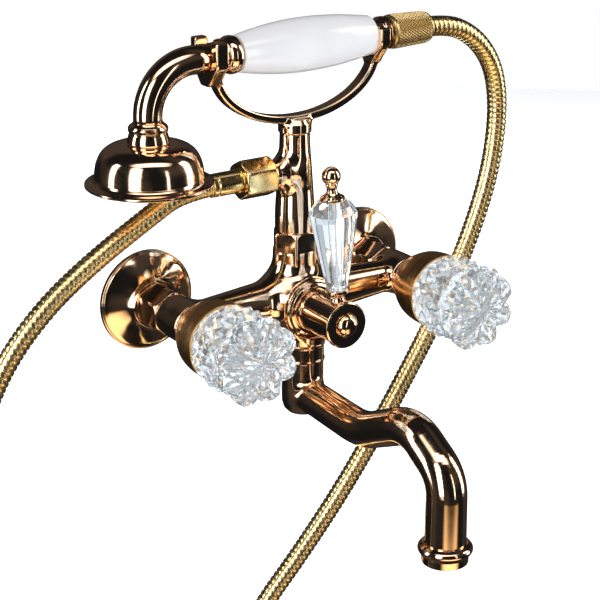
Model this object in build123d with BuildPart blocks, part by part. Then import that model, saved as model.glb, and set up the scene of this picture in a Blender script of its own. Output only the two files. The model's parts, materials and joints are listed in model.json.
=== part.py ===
from build123d import *
import math
import os

# A wall mounted bath faucet: two inlets at 150 mm centres, ceramic valves with cut-crystal knobs,
# a diverter with a crystal lever, a swivel spout, and a telephone-style hand shower on a cradle.
# Frame: X to the right as seen facing the wall, -Y out of the wall, +Z up. The origin is on the
# wall plane, midway between the inlets, at the height of their axes. Millimetres.

# Driving dimensions
INLET_CENTRES = 150.0  # standard distance between the two wall inlets
VALVE_X = INLET_CENTRES / 2
STUD_R = 10.48  # outside of a G 1/2 pipe thread
UNION_R = 10.1  # outside of the thread that the union nut turns on
STRAINER_PCR = 4.2
STRAINER_HOLE_R = 1.3
WATERWAY_R = 6.5
BODY_OUT = 45.0  # distance of the body's arms and column from the wall
HEX_CORNER_R = 13.86  # 24 mm across the flats
FLANGE_R = 29.9
HOUSING_R = 12.4
POCKET_R = 9.3
SPINDLE_R = 4.03
SPINDLE_BORE_R = 4.1
KNOB_SEAT_R = 20.9
KNOB_FLUTES = 8
DIVERTER_Z = -2.4
HUB_R = 12.6
LEVER_OUT = 90.0
LEVER_LEAN = 4.0  # degrees from vertical towards -X when stored
LEVER_FACETS = 10
SPOUT_OUT = 53.0  # distance of the spout's swivel axis from the wall
SPOUT_STEM_R = 8.0
SPOUT_BORE_R = 8.06
OUTLET_OUT = 191.5
HANDSET_Z = 148.5
HEAD_X = -95.0
NECK_R = 8.0
NECK_BEND_R = 28.0
TEE_Z = 76.0
CRADLE_Z = 140.0
CRADLE_X = 1.0
CRADLE_HALF_SPAN = 53.5
CRADLE_DROP = 33.0
CRADLE_BAR = 4.8
HOSE_R = 6.0
HOSE_START_X = 87.5
HOSE_END_X = -50.0
GAP = 0.1  # clearance between pieces that are screwed or pressed together

# The hose's route in the plane of the column, as (x, z), from the handset to the column's tee.
HOSE_ROUTE = [
    (HOSE_START_X, HANDSET_Z),
    (106.5, HANDSET_Z),
    (124, 141.5),
    (138, 128.5),
    (146.5, 111),
    (149, 85.5),
    (144, 50),
    (129, 10.5),
    (109, -28.5),
    (86, -64),
    (60, -101.5),
    (33, -136.5),
    (3.5, -169.5),
    (-26, -199),
    (-50, -235),
    (-67, -280),
    (-76, -332),
    (-82, -390),
    (-90, -436),
    (-108, -464),
    (-137, -480),
    (-170, -479),
    (-198, -462),
    (-214, -433),
    (-220, -386),
    (-222, -326),
    (-222.5, -266),
    (-222, -208),
    (-220.5, -149),
    (-217, -94),
    (-208, -46),
    (-190, -6),
    (-163, 24),
    (-131, 46),
    (-97, 64.5),
    (-75, TEE_Z),
    (HOSE_END_X, TEE_Z),
]

os.makedirs("parts", exist_ok=True)


def plane_out(x, z=0.0):
    """Local X is the row's X and local Y runs out of the wall, for pieces on a valve's axis."""
    return Plane(origin=(x, 0, z), x_dir=(1, 0, 0), z_dir=(0, 0, -1))


def plane_up(x, out):
    """Local X is the row's X and local Y is +Z, for pieces on an upright axis."""
    return Plane(origin=(x, -out, 0), x_dir=(1, 0, 0), z_dir=(0, -1, 0))


def plane_along(z):
    """Local X is +Z and local Y is +X, for pieces on a level axis along the wall."""
    return Plane(origin=(0, -BODY_OUT, z), x_dir=(0, 0, 1), z_dir=(0, 1, 0))


def turn(plane, points, mode=Mode.ADD):
    """Turns a closed half section of (radius, height) points about the plane's local Y axis."""
    with BuildSketch(plane) as section:
        with BuildLine():
            Polyline(*points, close=True)
        make_face()
    revolve(section.sketch, axis=Axis(plane.origin, plane.y_dir), mode=mode)


def turn_curved(plane, curve, rest, mode=Mode.ADD):
    """Turns a half section bounded by a smooth curve through points and then straight lines."""
    with BuildSketch(plane) as section:
        with BuildLine():
            Spline(*curve)
            Polyline(curve[-1], *rest, curve[0])
        make_face()
    revolve(section.sketch, axis=Axis(plane.origin, plane.y_dir), mode=mode)


def tube(plane, inner, outer, low, high, mode=Mode.ADD):
    """A straight tube, or a rod where the inner radius is 0, between two heights."""
    turn(plane, [(inner, low), (outer, low), (outer, high), (inner, high)], mode)


def chamfer_hex(plane, corner_r, low, high, chamfer_r, slope):
    """Cuts a hexagon's corners back to a cone at each end."""
    turn(
        plane,
        [
            (0, low),
            (chamfer_r, low),
            (corner_r + 1, low + slope),
            (corner_r + 1, high - slope),
            (chamfer_r, high),
            (0, high),
        ],
        Mode.INTERSECT,
    )


def finish(piece, name):
    piece.part.label = name
    export_step(piece.part, f"parts/{name}.step")


# Wall inlets ---------------------------------------------------------------------------------


with BuildPart() as inlet_unions:
    for valve_x in (-VALVE_X, VALVE_X):
        axis = plane_out(valve_x)
        tube(axis, WATERWAY_R, STUD_R, -16, 0)
        tube(axis, WATERWAY_R, UNION_R, 0, 22)
        tube(axis, 0, WATERWAY_R, -9, -7)
        with BuildSketch(Plane(origin=(valve_x, 10, 0), x_dir=(1, 0, 0), z_dir=(0, -1, 0))):
            with PolarLocations(STRAINER_PCR, 8):
                Circle(STRAINER_HOLE_R)
        extrude(amount=4, mode=Mode.SUBTRACT)
finish(inlet_unions, "inlet_unions")


def make_wall_flange(side, x):
    outer = [(29.0, 3.3), (26.0, 4.6), (21.0, 7.4), (16.8, 10.4), (14.2, 13.0)]
    inner = [(10.7, 13.0), (10.7, 11.4), (14.8, 10.2), (20.0, 6.0), (25.5, 3.0), (28.2, 2.2)]
    base = [(28.2, 0.0), (FLANGE_R, 0.0), (FLANGE_R, 2.2)]
    with BuildPart() as wall_flange:
        turn_curved(plane_out(x), outer, inner + base)
    finish(wall_flange, f"wall_flange_{side}")


def make_union_nut(side, x):
    low, high, shoulder = 13.2, 33.0, 27.2
    axis = plane_out(x)
    with BuildPart() as union_nut:
        with BuildSketch(Plane(origin=(x, -low, 0), x_dir=(1, 0, 0), z_dir=(0, -1, 0))):
            RegularPolygon(HEX_CORNER_R, 6, rotation=30)
        extrude(amount=high - low)
        chamfer_hex(axis, HEX_CORNER_R, low, high, 12.4, 3.0)
        tube(axis, 0, UNION_R + 0.07, low, shoulder, Mode.SUBTRACT)
        tube(axis, 0, 9.0, shoulder, high, Mode.SUBTRACT)
    finish(union_nut, f"union_nut_{side}")


with BuildPart() as union_washers:
    for valve_x in (-VALVE_X, VALVE_X):
        tube(plane_out(valve_x), WATERWAY_R + 0.1, UNION_R, 22.0, 24.0)
finish(union_washers, "union_washers")


# Body casting --------------------------------------------------------------------------------

BODY_TOP = 20.5
BODY_FOOT = -25.0
BOSS_END = 60.0
BONNET_R = 17.4
CARTRIDGE_BACK = 40.0
STEM_HEAD = -20.5


def add_valve_housing(x):
    axis = plane_out(x)
    turn(
        axis,
        [(0, 24.05), (UNION_R, 24.05), (UNION_R, 27.1), (8.8, 27.1), (8.8, 33.2), (0, 33.2)],
    )
    turn(
        axis,
        [(0, 33.2), (11.9, 33.2), (HOUSING_R, 34.2), (HOUSING_R, 55.2), (11.8, 56.0), (0, 56.0)],
    )


def cut_valve_housing(x):
    axis = plane_out(x)
    tube(axis, 0, WATERWAY_R, 20, CARTRIDGE_BACK + 1, Mode.SUBTRACT)
    tube(axis, 0, POCKET_R, CARTRIDGE_BACK, 57, Mode.SUBTRACT)


with BuildPart() as mixer_body:
    turn(
        plane_up(0, BODY_OUT),
        [
            (0, -16),
            (12.5, -16),
            (16.5, -8),
            (17.6, 0),
            (16.4, 8),
            (13.8, 14),
            (12.9, 17),
            (12.9, BODY_TOP),
            (0, BODY_TOP),
        ],
    )
    tube(plane_up(0, BODY_OUT), 0, 10.3, BODY_TOP, 30)
    tube(plane_up(0, SPOUT_OUT), 0, 12.9, BODY_FOOT, -4)
    turn(plane_out(0, DIVERTER_Z), [(0, 40), (14.5, 40), (16.4, 52), (16.4, BOSS_END), (0, BOSS_END)])
    # The two arms taper from the centre to the valves.
    turn(plane_along(0), [(0, -VALVE_X), (8.6, -VALVE_X), (9.2, -60), (14.8, 0), (0, 0)])
    turn(plane_along(0), [(0, 0), (14.8, 0), (9.2, 60), (8.6, VALVE_X), (0, VALVE_X)])
    for valve_x in (-VALVE_X, VALVE_X):
        add_valve_housing(valve_x)
    for valve_x in (-VALVE_X, VALVE_X):
        cut_valve_housing(valve_x)
    tube(plane_along(0), 0, 5.0, -VALVE_X + 4, VALVE_X - 4, Mode.SUBTRACT)
    tube(plane_out(0, DIVERTER_Z), 0, 10.0, 38, BOSS_END + 1, Mode.SUBTRACT)
    tube(plane_out(0, DIVERTER_Z), 0, BONNET_R + 0.2, BOSS_END, 70, Mode.SUBTRACT)
    tube(plane_up(0, BODY_OUT), 0, 6.0, 0, 31, Mode.SUBTRACT)
    tube(plane_up(0, SPOUT_OUT), 0, 9.05, BODY_FOOT - 1, STEM_HEAD + GAP, Mode.SUBTRACT)
    tube(plane_up(0, SPOUT_OUT), 0, 5.0, BODY_FOOT, -5, Mode.SUBTRACT)
finish(mixer_body, "mixer_body")


# Valves --------------------------------------------------------------------------------------


with BuildPart() as valve_cartridges:
    for valve_x in (-VALVE_X, VALVE_X):
        axis = plane_out(valve_x)
        turn(axis, [(0, 40.1), (9.2, 40.1), (9.2, 56.0), (7.0, 56.0), (7.0, 62.0), (0, 62.0)])
        tube(axis, 0, 7.4, 40.0, 50.0, Mode.SUBTRACT)
        tube(axis, 0, SPINDLE_BORE_R, 50.0, 63.0, Mode.SUBTRACT)
        # Windows where the water leaves towards the body's arm.
        with Locations((valve_x, -46.0, 0)):
            Box(20, 4.0, 6.0, mode=Mode.SUBTRACT)
finish(valve_cartridges, "valve_cartridges")

with BuildPart() as ceramic_seats:
    for valve_x in (-VALVE_X, VALVE_X):
        tube(plane_out(valve_x), 0, 7.3, 40.2, 43.0)
        with BuildSketch(Plane(origin=(valve_x, -40.0, 0), x_dir=(1, 0, 0), z_dir=(0, -1, 0))):
            with PolarLocations(3.8, 2):
                Circle(2.2)
        extrude(amount=4.0, mode=Mode.SUBTRACT)
finish(ceramic_seats, "ceramic_seats")


def make_ceramic_disc(side, x):
    with BuildPart() as ceramic_disc:
        tube(plane_out(x), 0, 7.1, 43.1, 45.6)
        with BuildSketch(Plane(origin=(x, -43.0, 0), x_dir=(1, 0, 0), z_dir=(0, -1, 0))):
            with PolarLocations(3.8, 2, start_angle=90):
                Circle(2.2)
        extrude(amount=3.0, mode=Mode.SUBTRACT)
    finish(ceramic_disc, f"ceramic_disc_{side}")


def make_valve_spindle(side, x):
    axis = plane_out(x)
    with BuildPart() as valve_spindle:
        turn(axis, [(0, 45.7), (7.0, 45.7), (7.0, 49.6), (SPINDLE_R, 49.6), (SPINDLE_R, 76), (0, 76)])
        tube(axis, 0, 2.05, 66.0, 77.0, Mode.SUBTRACT)
    finish(valve_spindle, f"valve_spindle_{side}")


def make_valve_bonnet(side, x):
    outline = [(7.1, 56.1), (12.4, 56.1), (12.9, 58.5), (14.2, 60.6), (15.9, 61.8), (15.9, 62.5)]
    with BuildPart() as valve_bonnet:
        turn(plane_out(x), outline + [(7.1, 62.5)])
    finish(valve_bonnet, f"valve_bonnet_{side}")


def make_handle_cup(side, x):
    axis = plane_out(x)
    outer = [(16.3, 63.2), (18.6, 67.0), (20.9, 72.5), (22.0, 79.0), (22.3, 88.0)]
    inner = [(KNOB_SEAT_R, 88.0), (KNOB_SEAT_R, 80.0), (0, 80.0), (0, 63.2)]
    with BuildPart() as handle_cup:
        turn_curved(axis, outer, inner)
        tube(axis, 0, SPINDLE_R + 0.03, 63.0, 76.1, Mode.SUBTRACT)
        tube(axis, 0, 2.1, 76.0, 81.0, Mode.SUBTRACT)
        tube(axis, 0, 3.8, 78.0, 81.0, Mode.SUBTRACT)
    finish(handle_cup, f"handle_cup_{side}")


def make_handle_screw(side, x):
    with BuildPart() as handle_screw:
        turn(
            plane_out(x),
            [(0, 67.0), (2.0, 67.0), (2.0, 78.1), (3.6, 78.1), (3.6, 80.5), (0, 80.5)],
        )
    finish(handle_screw, f"handle_screw_{side}")


def make_knob_insert(side, x):
    with BuildPart() as knob_insert:
        turn(
            plane_out(x),
            [(0, 81.0), (20.7, 81.0), (20.7, 83.5), (5.0, 83.5), (5.0, 104.0), (0, 104.0)],
        )
    finish(knob_insert, f"knob_insert_{side}")


def make_crystal_knob(side, x):
    axis = plane_out(x)
    outer = [
        (KNOB_SEAT_R - GAP, 83.6),
        (KNOB_SEAT_R - GAP, 88.0),
        (22.4, 91.0),
        (23.6, 96.0),
        (23.6, 101.5),
        (22.4, 107.0),
        (21.4, 111.5),
        (23.0, 115.0),
        (25.4, 119.5),
        (25.6, 122.5),
        (23.0, 126.5),
        (15.0, 128.6),
        (0, 127.0),
    ]
    with BuildPart() as crystal_knob:
        turn(axis, outer + [(0, 83.6)])
        with BuildSketch(Plane(origin=(x, -112.0, 0), x_dir=(1, 0, 0), z_dir=(0, -1, 0))):
            with PolarLocations(28.6, KNOB_FLUTES):
                Circle(5.4)
        extrude(amount=20, mode=Mode.SUBTRACT)
        tube(axis, 0, 5.1, 83.0, 104.2, Mode.SUBTRACT)
    finish(crystal_knob, f"crystal_knob_{side}")


for valve_side, valve_x in (("left", -VALVE_X), ("right", VALVE_X)):
    make_wall_flange(valve_side, valve_x)
    make_union_nut(valve_side, valve_x)
    make_ceramic_disc(valve_side, valve_x)
    make_valve_spindle(valve_side, valve_x)
    make_valve_bonnet(valve_side, valve_x)
    make_handle_cup(valve_side, valve_x)
    make_handle_screw(valve_side, valve_x)
    make_knob_insert(valve_side, valve_x)
    make_crystal_knob(valve_side, valve_x)


# Diverter ------------------------------------------------------------------------------------

HUB_AXIS = plane_out(0, DIVERTER_Z)
HUB_BACK = 66.5
HUB_FRONT = 97.6

with BuildPart() as diverter_cartridge:
    turn(HUB_AXIS, [(0, 40), (9.9, 40), (9.9, 61.8), (7.0, 61.8), (7.0, 72), (0, 72)])
    tube(HUB_AXIS, 0, 8.3, 44, 54, Mode.SUBTRACT)
    tube(HUB_AXIS, 0, SPINDLE_BORE_R, 54, 73, Mode.SUBTRACT)
    # Ports from both arms, to the riser above and to the spout below.
    with Locations((0, -47.5, DIVERTER_Z)):
        Box(24, 5, 7, mode=Mode.SUBTRACT)
        Box(7, 5, 24, mode=Mode.SUBTRACT)
finish(diverter_cartridge, "diverter_cartridge")

with BuildPart() as diverter_spindle:
    turn(HUB_AXIS, [(0, 44.2), (8.0, 44.2), (8.0, 53.7), (SPINDLE_R, 53.7), (SPINDLE_R, 84), (0, 84)])
    tube(HUB_AXIS, 0, 2.05, 74, 85, Mode.SUBTRACT)
    # The cam's flat opens one port at a time.
    with Locations((0, -48.0, DIVERTER_Z - 9.0)):
        Box(20, 9, 8, mode=Mode.SUBTRACT)
finish(diverter_spindle, "diverter_spindle")

with BuildPart() as diverter_bonnet:
    turn(
        HUB_AXIS,
        [
            (10.1, 60.1),
            (16.6, 60.1),
            (BONNET_R, 61.5),
            (BONNET_R, 63.6),
            (16.4, 65.2),
            (14.4, 66.0),
            (10.1, 66.0),
        ],
    )
finish(diverter_bonnet, "diverter_bonnet")

with BuildPart() as diverter_hub:
    turn(
        HUB_AXIS,
        [
            (0, HUB_BACK),
            (HUB_R, HUB_BACK),
            (HUB_R, 94.8),
            (13.6, 95.4),
            (13.6, 97.0),
            (12.8, HUB_FRONT),
            (0, HUB_FRONT),
        ],
    )
    tube(HUB_AXIS, 0, 7.6, HUB_BACK - 1, 76, Mode.SUBTRACT)
    tube(HUB_AXIS, 0, SPINDLE_R + 0.03, 75, 84.1, Mode.SUBTRACT)
    tube(HUB_AXIS, 0, 2.1, 84, 87, Mode.SUBTRACT)
    tube(HUB_AXIS, 0, 4.2, 86.4, HUB_FRONT + 1, Mode.SUBTRACT)
    # Threaded socket for the lever's stem.
    with Locations(Location((0, -LEVER_OUT, DIVERTER_Z), (0, -LEVER_LEAN, 0))):
        with Locations((0, 0, 9.3)):
            Cylinder(3.05, 8.2, mode=Mode.SUBTRACT)
finish(diverter_hub, "diverter_hub")

with BuildPart() as diverter_screw:
    turn(HUB_AXIS, [(0, 75), (2.0, 75), (2.0, 86.5), (3.6, 86.5), (3.6, 89.2), (0, 89.2)])
finish(diverter_screw, "diverter_screw")

with BuildPart() as hub_cap:
    turn(HUB_AXIS, [(0, 94.6), (4.1, 94.6), (4.1, 97.7), (6.5, 97.7), (6.2, 99.6), (4.6, 101.2), (0, 101.9)])
finish(hub_cap, "hub_cap")

LEAN = math.radians(LEVER_LEAN)
LEVER_UP = Vector(-math.sin(LEAN), 0, math.cos(LEAN))
LEVER_SIDE = Vector(math.cos(LEAN), 0, math.sin(LEAN))
LEVER_AXIS = Plane(origin=(0, -LEVER_OUT, DIVERTER_Z), x_dir=LEVER_SIDE, z_dir=(0, -1, 0))
LEVER_BASE = Plane(origin=(0, -LEVER_OUT, DIVERTER_Z), x_dir=LEVER_SIDE, z_dir=LEVER_UP)
LEVER_ROD_R = 1.6
CRYSTAL_FOOT = 20.8
CRYSTAL_TOP = 73.4

with BuildPart() as lever_stem:
    turn(
        LEVER_AXIS,
        [
            (0, 5.4),
            (3.0, 5.4),
            (3.0, 12.8),
            (4.6, 12.8),
            (4.6, 13.8),
            (3.9, 14.8),
            (3.8, 16.2),
            (5.4, 17.6),
            (7.0, 18.6),
            (7.0, 20.7),
            (0, 20.7),
        ],
    )
    tube(LEVER_AXIS, 0, LEVER_ROD_R + 0.05, 11.9, 21, Mode.SUBTRACT)
finish(lever_stem, "lever_stem")

with BuildPart() as lever_crystal:
    for height, radius in ((CRYSTAL_FOOT, 6.3), (63.5, 13.5), (66.5, 13.5), (CRYSTAL_TOP, 7.4)):
        with BuildSketch(LEVER_BASE.offset(height)):
            RegularPolygon(radius, LEVER_FACETS)
    loft(ruled=True)
    tube(LEVER_AXIS, 0, LEVER_ROD_R + 0.1, CRYSTAL_FOOT - 1, CRYSTAL_TOP + 1, Mode.SUBTRACT)
finish(lever_crystal, "lever_crystal")

with BuildPart() as lever_rod:
    tube(LEVER_AXIS, 0, LEVER_ROD_R, 12, 78)
finish(lever_rod, "lever_rod")

with BuildPart() as lever_finial:
    turn(
        LEVER_AXIS,
        [(0, 73.5), (7.0, 73.5), (7.0, 74.8), (5.0, 76.2), (3.1, 78.4), (3.0, 81.0), (3.6, 82.4), (0, 82.4)],
    )
    with Locations(Location(LEVER_AXIS.origin + LEVER_UP * 87.0)):
        Sphere(5.4)
    tube(LEVER_AXIS, 0, LEVER_ROD_R + 0.05, 73, 78.1, Mode.SUBTRACT)
finish(lever_finial, "lever_finial")


# Spout ---------------------------------------------------------------------------------------

SPOUT_AXIS = plane_up(0, SPOUT_OUT)
OUTLET_AXIS = plane_up(0, OUTLET_OUT)
COLLAR_FOOT = -36.5
STEM_FOOT = -56.0
GROOVE_Z = -42.5
SEAL_HEIGHTS = (-48.0, -52.0)
ROOT_R = 12.4
SIDE_PLANE = Plane(origin=(0, 0, 0), x_dir=(0, -1, 0), z_dir=(-1, 0, 0))
SPOUT_LINE = [(SPOUT_OUT, -57.0), (115.0, -60.5), (160.0, -40.5), (OUTLET_OUT, -60.0), (OUTLET_OUT, -100.0)]
SPOUT_BENDS = [50.0, 24.0, 20.0]

with BuildPart() as spout_collar:
    turn(
        SPOUT_AXIS,
        [
            (SPOUT_STEM_R + GAP, BODY_FOOT - GAP),
            (13.3, BODY_FOOT - GAP),
            (13.3, BODY_FOOT - 1.6),
            (12.6, BODY_FOOT - 2.4),
            (12.6, COLLAR_FOOT + 2.0),
            (13.1, COLLAR_FOOT + 1.2),
            (13.1, COLLAR_FOOT),
            (SPOUT_STEM_R + GAP, COLLAR_FOOT),
        ],
    )
finish(spout_collar, "spout_collar")

with BuildPart() as spout_stem:
    tube(SPOUT_AXIS, 5.0, SPOUT_STEM_R, STEM_FOOT, BODY_FOOT)
    tube(SPOUT_AXIS, 5.0, 9.0, BODY_FOOT, STEM_HEAD)
    # A groove for the retaining screw and two for the seals.
    tube(SPOUT_AXIS, 7.0, 9.0, GROOVE_Z - 1.9, GROOVE_Z + 1.9, Mode.SUBTRACT)
    for seal_z in SEAL_HEIGHTS:
        tube(SPOUT_AXIS, 6.1, 9.0, seal_z - 1.0, seal_z + 1.0, Mode.SUBTRACT)
finish(spout_stem, "spout_stem")

with BuildPart() as spout_seals:
    for seal_z in SEAL_HEIGHTS:
        with Locations((0, -SPOUT_OUT, seal_z)):
            Torus(7.08, 0.92)
finish(spout_seals, "spout_seals")


def sweep_spout(start_r, end_r, mode=Mode.ADD):
    """The S-shaped tube, which widens from the root to the outlet."""
    with BuildLine(SIDE_PLANE) as line:
        FilletPolyline(*SPOUT_LINE, radius=SPOUT_BENDS)
    path = line.wires()[0]
    with BuildSketch(Plane(origin=path @ 0, z_dir=path % 0)) as first:
        Circle(start_r)
    with BuildSketch(Plane(origin=path @ 1, z_dir=path % 1)) as last:
        Circle(end_r)
    sweep([first.sketch, last.sketch], path=path, multisection=True, mode=mode)


with BuildPart() as spout:
    turn(
        SPOUT_AXIS,
        [
            (0, COLLAR_FOOT - 0.35),
            (ROOT_R, COLLAR_FOOT - 0.35),
            (ROOT_R, -62.0),
            (11.2, -66.5),
            (8.0, -69.6),
            (3.5, -70.9),
            (0, -71.0),
        ],
    )
    sweep_spout(9.9, 11.5)
    sweep_spout(7.6, 9.4, Mode.SUBTRACT)
    tube(SPOUT_AXIS, 0, SPOUT_BORE_R, COLLAR_FOOT, STEM_FOOT - 1, Mode.SUBTRACT)
    tube(SPOUT_AXIS, 0, 7.0, STEM_FOOT, -64, Mode.SUBTRACT)
    # Threaded hole at the back for the retaining screw.
    with Locations(Location((0, -SPOUT_OUT + 10.0, GROOVE_Z), (90, 0, 0))):
        Cylinder(1.55, 6.0, mode=Mode.SUBTRACT)
finish(spout, "spout")

with BuildPart() as spout_retaining_screw:
    with Locations(Location((0, -SPOUT_OUT + 9.7, GROOVE_Z), (90, 0, 0))):
        Cylinder(1.5, 4.4)
finish(spout_retaining_screw, "spout_retaining_screw")

with BuildPart() as spout_end_ring:
    turn(
        OUTLET_AXIS,
        [
            (11.6, -98.0),
            (12.4, -98.0),
            (14.4, -99.6),
            (15.2, -102.0),
            (14.6, -104.4),
            (13.2, -105.6),
            (12.8, -109.5),
            (10.6, -109.5),
            (10.6, -100.2),
            (11.6, -100.2),
        ],
    )
finish(spout_end_ring, "spout_end_ring")

with BuildPart() as aerator:
    turn(
        OUTLET_AXIS,
        [(0, -101.0), (10.5, -101.0), (10.5, -110.5), (8.6, -110.5), (8.6, -108.6), (0, -108.6)],
    )
    with BuildSketch(Plane.XY.offset(-111)):
        with Locations((0, -OUTLET_OUT)):
            Circle(1.0)
            with PolarLocations(3.0, 6):
                Circle(0.9)
            with PolarLocations(6.0, 12):
                Circle(0.9)
    extrude(amount=12, mode=Mode.SUBTRACT)
finish(aerator, "aerator")


# Column and hose inlet -----------------------------------------------------------------------

COLUMN_AXIS = plane_up(0, BODY_OUT)
TEE_AXIS = plane_along(TEE_Z)
NUT_FOOT = 20.7
NUT_TOP = 41.0

with BuildPart() as column_nut:
    with BuildSketch(Plane(origin=(0, -BODY_OUT, NUT_FOOT))):
        RegularPolygon(HEX_CORNER_R, 6)
    extrude(amount=NUT_TOP - NUT_FOOT)
    chamfer_hex(COLUMN_AXIS, HEX_CORNER_R, NUT_FOOT, NUT_TOP, 12.5, 3.2)
    tube(COLUMN_AXIS, 0, 10.5, NUT_FOOT - 1, 33.3, Mode.SUBTRACT)
    tube(COLUMN_AXIS, 0, 9.2, 33, NUT_TOP + 1, Mode.SUBTRACT)
finish(column_nut, "column_nut")

with BuildPart() as column_washers:
    # One under the riser and one at the tee's hose joint.
    tube(COLUMN_AXIS, 6.1, 10.2, 30.1, 31.2)
    tube(TEE_AXIS, 4.2, 7.8, -31.6, -30.1)
finish(column_washers, "column_washers")

with BuildPart() as riser_column:
    turn(COLUMN_AXIS, [(0, 31.3), (10.3, 31.3), (10.3, 33.1), (9.1, 33.1), (9.1, 41.2), (0, 41.2)])
    turn_curved(
        COLUMN_AXIS,
        [(11.6, 41.2), (11.6, 50.0), (11.2, 58.0), (10.0, 76.0), (9.0, 90.0), (8.7, 98.9)],
        [(0, 98.9), (0, 41.2)],
    )
    turn(TEE_AXIS, [(0, -17.1), (8.1, -17.1), (8.1, -14), (9.2, -11.5), (12.0, -9), (12.0, 0), (0, 0)])
    tube(TEE_AXIS, 0, 7.9, -30, -17)
    tube(COLUMN_AXIS, 0, 6.0, 98, 105)
    tube(COLUMN_AXIS, 0, 6.0, 31, 84, Mode.SUBTRACT)
    tube(TEE_AXIS, 0, 5.0, -31, 0, Mode.SUBTRACT)
finish(riser_column, "riser_column")

with BuildPart() as hose_inlet_nut:
    with BuildSketch(Plane(origin=(-17.2, -BODY_OUT, TEE_Z), x_dir=(0, 1, 0), z_dir=(-1, 0, 0))):
        RegularPolygon(11.8, 6, rotation=30)
    extrude(amount=20.6)
    chamfer_hex(TEE_AXIS, 11.8, -37.8, -17.2, 10.6, 2.2)
    tube(TEE_AXIS, 0, 8.0, -33.4, -17, Mode.SUBTRACT)
    tube(TEE_AXIS, 0, 6.9, -38, -33, Mode.SUBTRACT)
finish(hose_inlet_nut, "hose_inlet_nut")

with BuildPart() as hose_inlet_ferrule:
    tube(TEE_AXIS, 3.4, 7.8, -33.3, -31.7)
    tube(TEE_AXIS, 3.4, 6.75, -57, -33.3)
    tube(TEE_AXIS, 0, HOSE_R + 0.05, -58, HOSE_END_X, Mode.SUBTRACT)
finish(hose_inlet_ferrule, "hose_inlet_ferrule")


# Cradle --------------------------------------------------------------------------------------

FORK_INNER = 9.6
FORK_OUTER = 14.0
FORK_TOP = 158.5
BOW_HALF_WIDTH = 4.25

with BuildPart() as cradle:
    with BuildSketch(Plane.XZ.offset(BODY_OUT - BOW_HALF_WIDTH)) as bow_profile:
        with Locations((CRADLE_X, CRADLE_Z)):
            Ellipse(CRADLE_HALF_SPAN + CRADLE_BAR / 2, CRADLE_DROP + CRADLE_BAR / 2)
            Ellipse(CRADLE_HALF_SPAN - CRADLE_BAR / 2, CRADLE_DROP - CRADLE_BAR / 2, mode=Mode.SUBTRACT)
        with Locations((CRADLE_X, CRADLE_Z + 30)):
            Rectangle(130, 60 + 2 * 4.0, mode=Mode.SUBTRACT)
    extrude(amount=2 * BOW_HALF_WIDTH)
    tube(COLUMN_AXIS, 0, 9.6, 99.1, 107.5)
    # A fork at each end: a saddle with one prong in front of the handset and one behind it.
    for fork_x, fork_width, saddle_r in ((-55.5, 8.0, 9.0), (53.5, 7.0, 9.3)):
        with BuildSketch(Plane.YZ.offset(fork_x - fork_width / 2)) as fork_profile:
            with Locations((-BODY_OUT, (FORK_TOP + 133.0) / 2)):
                RectangleRounded(2 * FORK_OUTER, FORK_TOP - 133.0, 2.0)
            with Locations((-BODY_OUT, HANDSET_Z + 0.3)):
                Circle(saddle_r, mode=Mode.SUBTRACT)
            with Locations((-BODY_OUT, HANDSET_Z + 8)):
                Rectangle(2 * FORK_INNER, 15.0, mode=Mode.SUBTRACT)
                Rectangle(2 * saddle_r, 15.8, mode=Mode.SUBTRACT)
        extrude(amount=fork_width)
        # Chamfered shoulders lead from the saddle down to the bow.
        with BuildSketch(Plane.YZ.offset(fork_x - fork_width / 2)) as shoulder:
            for hand in (-1, 1):
                with BuildLine():
                    Polyline(
                        (-BODY_OUT + hand * 5.0, 132.9),
                        (-BODY_OUT + hand * 15.0, 132.9),
                        (-BODY_OUT + hand * 15.0, 143.0),
                        close=True,
                    )
                make_face()
        extrude(amount=fork_width, mode=Mode.SUBTRACT)
    tube(COLUMN_AXIS, 0, 6.1, 98, 105.1, Mode.SUBTRACT)
    with Locations(Location((0, -BODY_OUT + 8.0, 102.0), (90, 0, 0))):
        Cylinder(1.55, 5.0, mode=Mode.SUBTRACT)
finish(cradle, "cradle")

with BuildPart() as cradle_screw:
    with Locations(Location((0, -BODY_OUT + 8.0, 102.0), (90, 0, 0))):
        Cylinder(1.5, 3.4)
finish(cradle_screw, "cradle_screw")


# Hand shower ---------------------------------------------------------------------------------

GRIP_AXIS = plane_along(HANDSET_Z)
HEAD_AXIS = plane_up(HEAD_X, BODY_OUT)
NECK_END_X = -50.2
NECK_FOOT = 113.5
RIM_Z = 83.4

with BuildPart() as neck_elbow:
    with BuildLine(Plane.XZ.offset(BODY_OUT)) as neck_line:
        FilletPolyline(
            (NECK_END_X, HANDSET_Z),
            (HEAD_X, HANDSET_Z),
            (HEAD_X, NECK_FOOT),
            radius=NECK_BEND_R,
        )
    neck_path = neck_line.wires()[0]
    with BuildSketch(Plane(origin=neck_path @ 0, z_dir=neck_path % 0)):
        Circle(NECK_R)
        Circle(NECK_R - 1.8, mode=Mode.SUBTRACT)
    sweep(path=neck_path)
finish(neck_elbow, "neck_elbow")

with BuildPart() as head_collar:
    turn(
        HEAD_AXIS,
        [
            (5.6, 106.6),
            (11.4, 106.6),
            (11.6, 108.8),
            (11.4, 111.4),
            (10.0, 112.6),
            (10.3, 114.2),
            (10.3, 116.4),
            (8.7, 118.2),
            (NECK_R + GAP, 118.2),
            (NECK_R + GAP, NECK_FOOT - GAP),
            (5.6, NECK_FOOT - GAP),
        ],
    )
finish(head_collar, "head_collar")

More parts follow.
